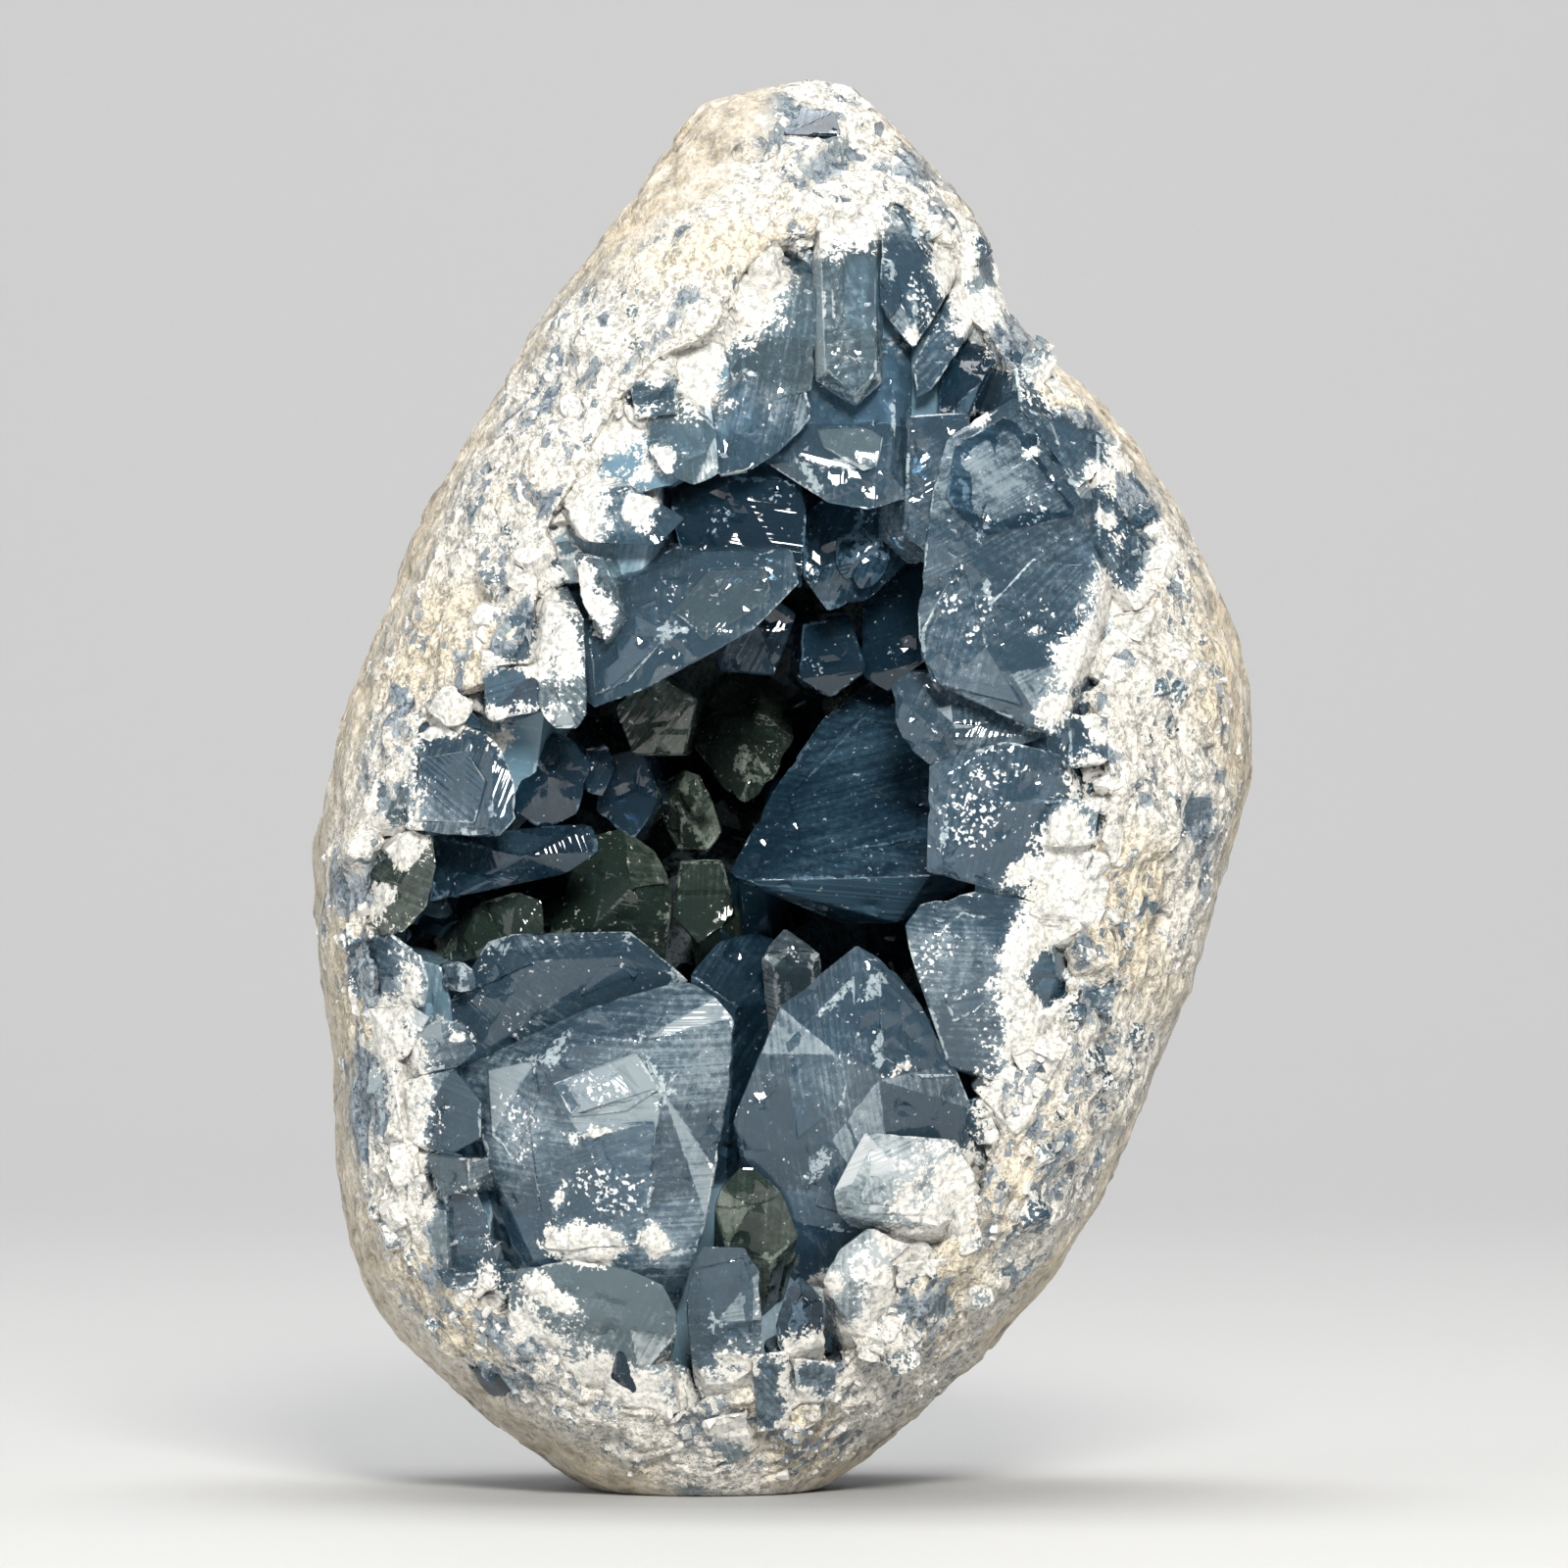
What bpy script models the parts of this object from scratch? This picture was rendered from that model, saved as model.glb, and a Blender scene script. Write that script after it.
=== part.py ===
"""A celestite geode, broken open at the front, standing on a small flat spot.

Its two pieces are the rind with its broken rim, and the crust of crystals that
lines the hollow. Sizes are in millimetres until a mesh is made. +Z is up, the
hollow opens towards -Y, and the origin is on the ground under the middle.
"""

import math
import random

import bmesh
import bpy
from mathutils import Matrix, Vector, noise

MM = 0.001

# The egg: its left and right edge at each height, seen from the front
HEIGHT = 150.0
TOP_X = 2.5
OUTLINE = (
    (0.0, -20.5, 4.0),
    (2.0, -24.0, 7.0),
    (4.5, -27.5, 10.0),
    (8.0, -32.0, 14.7),
    (12.0, -36.8, 19.0),
    (16.0, -41.0, 23.1),
    (20.0, -44.1, 26.6),
    (24.5, -45.9, 30.0),
    (30.0, -47.2, 33.6),
    (37.0, -48.0, 36.6),
    (45.0, -47.8, 39.9),
    (53.5, -48.9, 43.2),
    (61.0, -50.05, 45.6),
    (68.0, -50.05, 47.9),
    (75.0, -48.9, 49.7),
    (81.0, -47.3, 50.05),
    (87.0, -44.9, 49.4),
    (93.0, -42.6, 47.6),
    (99.0, -40.4, 44.9),
    (105.0, -37.8, 41.8),
    (110.5, -34.7, 38.1),
    (116.0, -30.9, 33.4),
    (120.4, -28.7, 28.4),
    (124.5, -25.9, 24.6),
    (128.7, -22.9, 22.2),
    (133.0, -19.8, 21.9),
    (137.0, -16.7, 19.5),
    (141.0, -14.1, 15.6),
    (144.8, -11.4, 12.1),
    (147.3, -8.8, 9.6),
    (148.6, -3.0, 8.3),
    (149.6, -0.8, 6.0),
)
RING_POINTS = 46
RING_POWER = 2.1
WIDEST_Z = 66.0
WIDEST_HALF = 48.5
AXIS_Y = -4.6
FRONT_SHARE = 0.84
BACK_SHARE = 0.95
FLAT_HALF_DEPTH = 19.0
# How the depth falls off from the widest height: powers of the way to the top or the flat
UPPER_TAPER = (1.9, 0.8)
LOWER_TAPER = (2.2, 0.6)
TOP_ROUNDING = 2.0

# The egg's unevenness: broad lumps, and ridges that run mostly up and down
LUMP = 2.0
LUMP_SIZE = 21.0
RIDGE = 1.7
RIDGE_SIZE = 8.5
RIDGE_STRETCH = 2.2
RIDGE_LEVEL = 0.25
SIDE_CALM = 3

# The hollow: the edge of its mouth, clockwise from the top, as x and z
MOUTH = (
    (5.2, 136.0),
    (13.6, 139.1),
    (19.8, 134.5),
    (22.4, 125.0),
    (28.7, 117.5),
    (36.0, 108.4),
    (38.6, 99.0),
    (36.0, 90.6),
    (32.8, 81.2),
    (33.4, 70.5),
    (30.6, 59.3),
    (27.6, 47.9),
    (22.2, 38.0),
    (16.9, 26.5),
    (9.6, 17.6),
    (0.0, 11.2),
    (-10.4, 9.3),
    (-20.9, 11.2),
    (-30.2, 18.2),
    (-37.5, 29.1),
    (-41.7, 40.6),
    (-43.8, 50.0),
    (-44.2, 59.3),
    (-42.6, 69.5),
    (-39.4, 80.0),
    (-29.6, 86.5),
    (-25.6, 95.4),
    (-22.8, 105.2),
    (-18.8, 113.6),
    (-11.5, 120.5),
    (-5.2, 127.0),
    (0.0, 133.0),
)
MOUTH_CENTRE = (-6.0, 72.0)
# How the hollow narrows behind its mouth: y, and the share of the mouth's size
NARROWING = ((-62.0, 1.0), (-25.0, 0.99), (-8.0, 0.9), (4.0, 0.78), (12.0, 0.6), (17.5, 0.36))
HOLLOW_BACK = 21.0
GAP = 0.45
CRUST_THICK = 3.6
CRUST_SETBACK = 0.9
# The broken edge of the mouth wanders this far between its points
JAG = 1.5

# The large crystals, from what can be seen of each: the root that it grows
# from, then its corners. Each point is x, z and its depth behind the egg's front.
CRYSTALS = {
    "hanging_prism": (
        (8, 138, 12),
        ((4.6, 134, 1.0), (8.7, 134, 0.5), (8.9, 118, 0.3), (6.9, 116, 0.3), (4.9, 118.5, 0.8)),
        ((3.2, 133, 4), (10.4, 133, 4), (10.3, 117.3, 3.5), (7.4, 114.2, 3), (4, 117.2, 4)),
    ),
    "hanging_neighbour": (
        (-3, 134, 14),
        ((-6.3, 121.8, 3), (-5.5, 117, 3), (-1.6, 114.7, 2.6), (3, 116, 3.5), (4, 126.5, 3)),
        ((0.2, 127, 1.6), (-0.3, 116, 1.6), (-2.5, 125, 2.5)),
    ),
    "upper_block": (
        (9, 134, 20),
        ((13.5, 121.5, 7), (13.4, 104.9, 7.5), (9, 103.4, 7), (4.5, 104.2, 7), (-2.5, 108.8, 7.5)),
        ((0, 120, 7.5), (11.5, 107.2, 5.5), (1, 110, 5.5), (11.5, 120, 5.5)),
    ),
    "upper_right_wedge": (
        (18, 141, 12),
        ((10.7, 137.6, 1.5), (14, 136.8, 0.8), (18.5, 136.5, 1), (20.8, 134, 2.5), (17.5, 128, 1.2)),
        ((16, 124, 2), (13.5, 120.5, 2.5), (10.3, 124.3, 2.2), (10.2, 131, 1.5), (14, 127.5, 0.2)),
    ),
    "upper_right_blade": (
        (25, 133, 14),
        ((21.8, 134.2, 3.5), (22.3, 127, 2.2), (20, 124.8, 1.4), (17.8, 119.5, 2.4), (15.6, 116.3, 4)),
        ((13.7, 115.2, 5), (13.4, 119, 4.5), (16.8, 125.2, 2), (19.4, 130, 1.6)),
    ),
    "upper_right_dark": (
        (27, 124, 16),
        ((20.5, 124.8, 5), (22.6, 122.3, 4), (22.6, 119.8, 4), (21, 117.5, 4.5), (18.8, 112.4, 6)),
        ((16, 113, 7), (16.5, 121, 7)),
    ),
    "upper_left_lip": (
        (-15, 119, 14),
        ((-14, 109.8, 1.5), (-12.5, 107.3, 1.5), (-9.5, 106, 1.2), (-6.6, 106.9, 1.8), (-7, 112, 1)),
        ((-10, 115, 1), (-14, 113.5, 1.2)),
    ),
    "upper_middle_lip": (
        (-5, 125, 15),
        ((-7.5, 113, 2.4), (-6.8, 106.8, 2.6), (-3.5, 107.3, 2.2), (-0.5, 109.5, 2.4), (3.2, 113, 3.4)),
        ((2.2, 117, 3), (-4, 118, 2)),
    ),
    "glassy_lump": (
        (-24, 108, 12),
        ((-22.6, 103.5, 0.8), (-21, 105.6, 0.8), (-16, 106.2, 1), (-13.5, 104.5, 2), (-10.2, 102.7, 3.5)),
        ((-13, 99.8, 2.5), (-17, 99.8, 1.5), (-20.3, 100.2, 1), (-17, 103.5, 0.2)),
    ),
    "great_plate": (
        (-26, 100, 24),
        ((-19.8, 82.8, 4), (-21.3, 91, 4), (-19.5, 95.2, 4), (-12.5, 96.4, 4.2), (-8.5, 99.2, 5.5)),
        ((1, 99.5, 7), (1.8, 96, 7), (-3, 91, 5.6), (-8.5, 88.1, 4.6), (-14.2, 84.8, 4), (-12.4, 91, 2.6)),
    ),
    "plate_back": (
        (-4, 118, 30),
        ((-12, 103.8, 8), (-10.5, 97.5, 8), (1.9, 95.3, 9), (2.4, 103, 9), (1.5, 107, 9), (-5, 107, 8)),
    ),
    "finger": (
        (-27, 97, 12),
        ((-24.6, 93.5, 0.6), (-20.8, 92.3, 0.8), (-20.3, 82.4, 1), (-21.4, 80.6, 1), (-24, 80.6, 0.8)),
        ((-25.4, 82.6, 0.8), (-25.6, 88, 0.8), (-23.2, 84, 0.1), (-23, 92, 0.1)),
    ),
    "left_block": (
        (-49, 78, 12),
        ((-40.6, 79.3, 1.4), (-38.5, 83, 2.2), (-31, 80.3, 1.4), (-29.2, 78.6, 1.6), (-27.9, 75, 2.2)),
        ((-27.8, 71.2, 2.2), (-29.6, 69.3, 1.4), (-35.5, 69.7, 0.8), (-39.2, 70.4, 0.8)),
        ((-38.8, 78.6, 0.4), (-30.6, 78.4, 0.6), (-30.4, 70.4, 0.6)),
    ),
    "green_block": (
        (-50, 66, 12),
        ((-44.6, 65.5, 2), (-39, 70, 2), (-36.6, 69.5, 2.2), (-36.2, 66.5, 2.4), (-37.3, 62, 2.4)),
        ((-40, 59.3, 2), (-42.5, 58.9, 2), (-44.6, 60.5, 2), (-40.5, 64.5, 1)),
    ),
    "dark_shelf": (
        (-44, 66, 22),
        ((-36.5, 69.6, 9), (-20, 71, 14), (-19, 68, 14), (-22.5, 65.6, 13), (-37, 62.6, 9)),
        ((-27, 67.5, 9.5),),
    ),
    "left_broken": (
        (-50, 55, 12),
        ((-45, 58.6, 2), (-41, 59.5, 2.2), (-38, 57.2, 3), (-37, 54.2, 3.4), (-37.6, 51.5, 3)),
        ((-42, 51, 2), (-45.5, 52.5, 2), (-41.5, 55.5, 1.2)),
    ),
    "pale_nugget": (
        (-47, 48, 8),
        ((-44.3, 50, 0.8), (-43.2, 51.6, 0.8), (-39, 51.9, 1), (-36.8, 50.7, 1.6), (-39, 48.5, 1)),
        ((-39.4, 46.4, 1), (-42.5, 45.5, 0.8), (-44.2, 47.4, 0.8), (-41.5, 49.5, 0.2)),
    ),
    "nugget_block": (
        (-42, 42, 14),
        ((-39.3, 49, 1.8), (-36, 50.6, 2), (-33.3, 50.2, 2.2), (-31.8, 47, 2.4), (-34, 45.5, 2)),
        ((-38.2, 44.8, 1.6), (-35.5, 48, 1)),
    ),
    "greenish_back": (
        (-38, 55, 28),
        ((-33.8, 58.8, 13), (-32, 62.6, 14), (-28, 63.8, 15), (-25.2, 62.8, 16), (-25, 59.5, 16)),
        ((-29, 57, 13), (-33.5, 56.5, 12)),
    ),
    "dome_crystal": (
        (-21, 30, 44),
        ((-25.2, 59, 24), (-22.5, 66, 25), (-20.5, 69.6, 26), (-17, 70.5, 27), (-13.5, 68, 28)),
        ((-11.6, 64.5, 28), (-12, 60.5, 26), (-20, 60, 22), (-19, 66, 23), (-16, 64, 23)),
    ),
    "left_dark_lump": (
        (-38, 82, 26),
        ((-28.2, 79.5, 12), (-22, 79.8, 14), (-20, 77, 15), (-21.5, 71.8, 15), (-25, 70, 14)),
        ((-28, 71.8, 12), (-24.5, 76, 12)),
    ),
    "round_dark": (
        (-32, 88, 40),
        ((-21, 78.6, 19), (-18.4, 79, 20), (-17.6, 76.4, 20), (-19, 73.5, 20), (-21, 74, 19)),
    ),
    "glint_crystal": (
        (-16, 66, 64),
        ((-14.6, 74, 40), (-10.5, 76.8, 39), (-8.8, 76, 39), (-7.4, 73, 39), (-6.4, 70, 40)),
        ((-8, 67.8, 40), (-11.2, 68, 40), (-11, 72.5, 37)),
    ),
    "deep_green": (
        (-4, 86, 66),
        ((-9.8, 79, 46), (-8, 82.4, 47), (-3, 83, 47), (1.2, 80, 46), (-1, 75.5, 44)),
        ((-4.5, 73.3, 44), (-6.5, 74.3, 44), (-4, 79, 42)),
    ),
    "navy_crystal": (
        (24, 66, 60),
        ((-5.8, 65.8, 24), (-1.5, 74, 30), (4, 82, 36), (9, 86, 38), (16, 84.5, 34), (24, 79, 26)),
        ((26, 68, 20), (15.5, 65.4, 19), (-5.2, 64.9, 23), (12, 60.3, 24), (6, 60.3, 27), (-1, 63.2, 27)),
    ),
    "back_blue": (
        (18, 102, 52),
        ((8.2, 94, 30), (7.8, 86.5, 31), (11, 84.6, 30), (15, 88, 26), (17, 98, 24), (15.5, 105, 26)),
    ),
    "upper_dark": (
        (8, 122, 40),
        ((2.2, 104, 20), (2, 96.5, 21), (4.5, 93, 22), (9, 94.3, 22), (13.2, 98.3, 20)),
        ((14.6, 104, 18), (8, 107, 18), (8, 99, 18)),
    ),
    "teal_ledge": (
        (33, 85, 26),
        ((11, 85.2, 12), (11.3, 82, 11.5), (12.6, 79, 11), (15, 77, 10), (18, 77.2, 9), (24, 78.8, 7)),
        ((28.5, 80.2, 5.5), (26, 84, 7), (16, 86.6, 11), (12.8, 86.8, 12.5), (16.5, 80, 8.6)),
    ),
    "glint_nugget": (
        (2, 32, 44),
        ((-2.6, 57, 28), (0, 60, 28), (4, 57.2, 28), (3.2, 55.6, 27), (-1, 55.8, 27), (1, 57.8, 26)),
    ),
    "floor_block": (
        (-6, 28, 46),
        ((-7, 58.5, 32), (-3, 59.5, 34), (2, 57.5, 34), (-1, 52, 32), (-5, 51.5, 30), (-10, 55, 30)),
    ),
    "great_right": (
        (42, 100, 26),
        ((20.4, 112.8, 3), (17, 111.4, 3.6), (15.6, 107, 4.4), (14.8, 101, 5), (13.8, 93, 6)),
        ((13.9, 90, 6), (15.2, 85.6, 6), (22, 82.4, 4), (28, 79.8, 2.8), (31, 88, 1.4), (33, 96, 1.2)),
        ((31, 105, 1), (28, 113, 1), (24, 115.6, 1.6), (20.8, 96.6, 1.2), (23.5, 86.5, 2), (19.5, 107.5, 2)),
    ),
    "frosted_ledge": (
        (38, 68, 20),
        ((15, 77, 5.5), (14.7, 65.8, 5.5), (20, 64.5, 4.6), (26, 63, 3.6), (31, 61.6, 2.2), (32, 70, 1.2)),
        ((29, 78, 2), (23, 79.6, 3.6), (18, 78, 4.6), (16.5, 66.8, 4.2), (17, 76, 4.2)),
    ),
    "right_lower": (
        (34, 46, 18),
        ((12.4, 60.4, 5.2), (14, 62.6, 6), (20, 64, 5.4), (27, 62.8, 4), (28.4, 55, 2), (26, 48, 2)),
        ((22, 44.2, 3), (17, 45.5, 4.6), (15, 52, 4.6), (13, 57, 4.8), (16, 59.5, 3.2), (25, 57.5, 1.6)),
    ),
    "pyramid": (
        (6, 14, 30),
        ((7.5, 58.4, 5), (-0.5, 52, 5.5), (-2.5, 47, 5.2), (-5.4, 40.2, 5), (-4.4, 36.5, 4.6)),
        ((1, 29.5, 4), (12, 27, 3.6), (20, 36, 5), (19.8, 41, 5), (17.8, 46, 5), (14.2, 52.3, 5.2)),
        ((11, 56.4, 5), (5.4, 47, 1.6), (5, 38, 1.4), (9.9, 44.3, 1.2), (10, 55.5, 3.2)),
    ),
    "great_block_back": (
        (-26, 36, 34),
        ((-35, 52.3, 8), (-31, 58.6, 10), (-28.5, 59.4, 10.5), (-16, 59.7, 11.5), (-12.8, 57, 11)),
        ((-9.8, 54.6, 10), (-34, 45, 7), (-26, 56.5, 7), (-17, 57, 8)),
    ),
    "great_block": (
        (-22, 12, 26),
        ((-10, 54.8, 8), (-7, 53, 7), (-5.1, 50.7, 6), (-5.5, 44, 5.4), (-7, 35, 4.6), (-8, 29.5, 4)),
        ((-9.4, 25.4, 3.4), (-17, 23.6, 2.6), (-26, 25, 2.4), (-29, 31, 3.4), (-31.8, 38, 4.4)),
        ((-34.2, 45.2, 6), (-25, 46.5, 3), (-15, 48.4, 2.6), (-12.6, 43.2, 2), (-22.4, 40.4, 1.8)),
        ((-14.8, 28, 1.4), (-20, 52, 6)),
    ),
    "bright_facet": (
        (16, 26, 12),
        ((5, 32.7, 1.4), (5.5, 30.2, 1.2), (8, 29.8, 0.8), (16, 29, 0.6), (20, 33, 1), (18, 38, 1.8)),
        ((8.3, 39, 2), (12, 35, 0.3)),
    ),
    "olive_crystal": (
        (-5, 18, 16),
        ((-7.3, 31, 3.4), (-6.8, 33, 3.6), (-4.5, 35.4, 3.8), (-3, 35.3, 3.8), (0, 32.5, 3.6)),
        ((1.6, 28, 3), (-1, 25.5, 2.6), (-6, 26.5, 3), (-3.4, 31, 2)),
    ),
    "bottom_block": (
        (-6, 6, 12),
        ((-9.6, 25, 1.6), (-8.5, 27, 1.8), (-4, 26.9, 1.8), (-2.5, 24.5, 1.6), (-2.2, 19, 1.2)),
        ((-2.4, 14.5, 1), (-5, 12.8, 0.8), (-8.2, 12.5, 0.8), (-9.8, 16, 1), (-10.3, 21, 1.2), (-7, 19, 0.2)),
    ),
    "milky_boss": (
        (-20, 6, 14),
        ((-29, 20.8, 1.2), (-28, 24.5, 1.4), (-22, 25.6, 1.2), (-16, 24.6, 1), (-12.5, 23, 1.2)),
        ((-11, 20, 1.2), (-11.2, 17.4, 1), (-15, 13, 0.8), (-21, 12.3, 0.6), (-25, 14.4, 0.8)),
        ((-28.4, 17.8, 1), (-20, 19, 0.1), (-24, 20, 0.1), (-16, 18, 0.2)),
    ),
    "dark_left_face": (
        (-42, 26, 12),
        ((-36, 37, 1.2), (-33.5, 36.5, 1.6), (-31, 30, 1.8), (-29.4, 23, 1.6), (-33, 20.8, 1.2)),
        ((-35.8, 23, 1), (-35.4, 30, 0.8)),
    ),
    "violet_block": (
        (-44, 38, 14),
        ((-39.5, 44, 1.2), (-34.5, 45.5, 2.2), (-31.5, 42, 2.6), (-31.5, 38, 2.4), (-35, 36, 1.4)),
        ((-39, 38, 1),),
    ),
    "low_right_lump": (
        (8, 12, 12),
        ((5.6, 26.5, 1.6), (9, 29, 1.4), (13, 27, 1), (13.5, 22, 0.8), (9, 16.8, 0.8), (6.5, 19, 1)),
        ((4, 23.5, 1.4), (9, 23, 0.2)),
    ),
    "low_facets": (
        (2, 10, 12),
        ((0.2, 22.4, 1.6), (1.7, 24, 1.8), (4.2, 21.6, 1.4), (4, 17, 1), (0, 15.4, 1), (-1, 19, 1.4)),
        ((1.8, 20, 0.6),),
    ),
}
ROOT_SPREAD = 0.7

# The small crystals that cover the rest of the hollow's wall, in rows from
# front to back: y, the share of the mouth's size there, and how many
SMALL_ROWS = ((-17.0, 0.96, 14), (-5.0, 0.88, 14), (6.0, 0.74, 12), (14.0, 0.5, 8), (19.0, 0.2, 4))
SMALL_LENGTH = (7.0, 12.0)
SMALL_WIDTH = (5.5, 9.0)
SMALL_FLATNESS = (0.6, 0.8)
SMALL_LEAN = 0.35
SMALL_SINK = 2.5

# The broken lumps of matrix round the mouth, and the pits among them
RIM_LUMPS = 40
RIM_REACH = (1.5, 12.0)
RIM_SIZE = (5.0, 9.0)
RIM_SINK = 0.4
RIM_PROUD = 0.9
RIM_FACING = 0.45
LUMP_HALF = 0.62
LUMP_FLATNESS = 0.75
PITS = ((-31.0, 12.0), (30.0, 78.0), (-3.0, 142.0), (40.0, 60.0), (-33.0, 95.0), (34.0, 47.0))
PIT_SIZE = 4.0
PIT_DEPTH = 0.6

SIDE_LEAN = math.radians(38)
CAP_LEAN = math.radians(48)
BLUNT_CAP = 0.4
IOR = 1.62


def clear_scene():
    for obj in list(bpy.data.objects):
        bpy.data.objects.remove(obj, do_unlink=True)


def between(table, at):
    """The values of a table's row at this first value, by straight lines between rows."""
    at = min(max(at, table[0][0]), table[-1][0])
    for low, high in zip(table, table[1:]):
        if at <= high[0]:
            share = (at - low[0]) / (high[0] - low[0])
            return [a + share * (b - a) for a, b in zip(low[1:], high[1:])]
    return list(table[-1][1:])


def half_depth(z):
    """Half the egg's depth at a height, before the front is flattened."""
    if z >= WIDEST_Z:
        power, root = UPPER_TAPER
        share = (z - WIDEST_Z) / (HEIGHT + TOP_ROUNDING - WIDEST_Z)
        return WIDEST_HALF * (1 - share**power) ** root
    power, root = LOWER_TAPER
    share = (WIDEST_Z - z) / WIDEST_Z
    flat = (FLAT_HALF_DEPTH / WIDEST_HALF) ** (1 / root)
    return WIDEST_HALF * (1 - (1 - flat) * share**power) ** root


def front_y(x, z):
    """The y of the unbroken egg's front at a place seen from the front."""
    left, right = between(OUTLINE, z)
    across = abs(x - (left + right) / 2) / ((right - left) / 2)
    bulge = max(0.0, 1 - across**RING_POWER) ** (1 / RING_POWER)
    return AXIS_Y - FRONT_SHARE * half_depth(z) * bulge


def front_normal(x, z):
    """Which way the unbroken egg's front faces at a place."""
    step = 0.5
    rise_x = (front_y(x + step, z) - front_y(x - step, z)) / (2 * step)
    rise_z = (front_y(x, z + step) - front_y(x, z - step)) / (2 * step)
    return Vector((rise_x, -1.0, rise_z)).normalized()


def placed(x, z, depth):
    return Vector((x, front_y(x, z) + depth, z))


def mesh_object(name, bm, collection=None):
    """A new object from a mesh in millimetres."""
    bmesh.ops.recalc_face_normals(bm, faces=bm.faces)
    bmesh.ops.scale(bm, vec=(MM, MM, MM), verts=bm.verts)
    mesh = bpy.data.meshes.new(name)
    bm.to_mesh(mesh)
    bm.free()
    obj = bpy.data.objects.new(name, mesh)
    (collection or bpy.context.scene.collection).objects.link(obj)
    return obj


def helper_object(name, bm, collection=None):
    obj = mesh_object(name, bm, collection)
    obj.hide_render = True
    obj.display_type = "WIRE"
    return obj


def helper_collection(name):
    collection = bpy.data.collections.new(name)
    bpy.context.scene.collection.children.link(collection)
    return collection


def skin(bm, rings, close_ends):
    """Faces between rings of the same number of vertices, and over both ends."""
    for ring, following in zip(rings, rings[1:]):
        for i in range(len(ring)):
            j = (i + 1) % len(ring)
            bm.faces.new((ring[i], ring[j], following[j], following[i]))
    for ring, tip in zip((rings[0], rings[-1]), close_ends):
        if tip is None:
            bm.faces.new(ring)
            continue
        point = bm.verts.new(tip)
        for i in range(len(ring)):
            bm.faces.new((ring[i], ring[(i + 1) % len(ring)], point))


def lumpiness(point, side):
    """How far the egg stands out at a point: less where that would show in its outline."""
    lump = noise.noise(point / LUMP_SIZE)
    drawn_out = Vector((point.x, point.y, point.z / RIDGE_STRETCH)) / RIDGE_SIZE
    ridge = RIDGE_LEVEL - abs(noise.noise(drawn_out))
    return (LUMP * lump + RIDGE * ridge) * (1.15 - abs(side) ** SIDE_CALM)


def make_egg(share=1.0):
    bm = bmesh.new()
    rings = []
    for z, left, right in OUTLINE:
        ring = []
        for k in range(RING_POINTS):
            turn = 2 * math.pi * k / RING_POINTS
            side, forward = math.cos(turn), -math.sin(turn)
            across = math.copysign(abs(side) ** (2 / RING_POWER), side)
            along = math.copysign(abs(forward) ** (2 / RING_POWER), forward)
            depth = half_depth(z) * (FRONT_SHARE if forward < 0 else BACK_SHARE)
            point = Vector(((left + right) / 2 + across * (right - left) / 2, AXIS_Y + along * depth, z))
            if z > 0:
                out = Vector((side, forward, 0.0))
                point += out * lumpiness(point, side)
            point.x *= share
            point.y = AXIS_Y + share * (point.y - AXIS_Y)
            ring.append(bm.verts.new(point))
        rings.append(ring)
    skin(bm, rings, (None, (TOP_X, AXIS_Y, HEIGHT)))
    return bm


def jagged_mouth():
    """The mouth's outline with a point between each two, set off to one side."""
    points = []
    for i, start in enumerate(MOUTH):
        start, end = Vector(start), Vector(MOUTH[(i + 1) % len(MOUTH)])
        along = (end - start).normalized()
        shift = JAG * (1 if i % 2 else -1) * (0.4 + abs(noise.noise(Vector((i * 1.7, 0.5, 0.0)))))
        points += [start, (start + end) / 2 + shift * Vector((along.y, -along.x))]
    return points


def mouth_points(inset):
    """The mouth's broken outline, moved in by a distance."""
    points = jagged_mouth()
    moved = []
    for i, point in enumerate(points):
        along = (points[(i + 1) % len(points)] - points[i - 1]).normalized()
        moved.append(point + inset * Vector((along.y, -along.x)))
    return moved


def make_hollow(inset, front=NARROWING[0][0]):
    """The space behind the mouth, smaller all round by an inset."""
    centre = Vector(MOUTH_CENTRE)
    outline = mouth_points(inset)
    bm = bmesh.new()
    rings = []
    for i, (y, share) in enumerate(NARROWING):
        at = front if i == 0 else y - inset
        flat = [centre + share * (point - centre) for point in outline]
        rings.append([bm.verts.new((p.x, at, p.y)) for p in flat])
    skin(bm, rings, (None, (centre.x, HOLLOW_BACK - inset, centre.y)))
    return bm


def hull(points):
    bm = bmesh.new()
    for point in points:
        bm.verts.new(point)
    made = bmesh.ops.convex_hull(bm, input=bm.verts)
    inside = [v for v in made["geom_interior"] if isinstance(v, bmesh.types.BMVert)]
    bmesh.ops.delete(bm, geom=inside, context="VERTS")
    return bm


def make_large_crystal(root, corners):
    """A block from its visible corners back to the root, where it is a little narrower."""
    seen = [placed(*corner) for corner in corners]
    middle = sum(seen, Vector()) / len(seen)
    base = placed(*root)
    return hull(seen + [base + ROOT_SPREAD * (point - middle) for point in seen])


def cut(bm, at, outward):
    """Keeps what is on the inner side of a plane, with a flat face on the cut."""
    geometry = bm.verts[:] + bm.edges[:] + bm.faces[:]
    made = bmesh.ops.bisect_plane(bm, geom=geometry, plane_co=at, plane_no=outward, clear_outer=True)
    edges = [e for e in made["geom_cut"] if isinstance(e, bmesh.types.BMEdge)]
    if edges:
        bmesh.ops.edgeloop_fill(bm, edges=edges)


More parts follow.
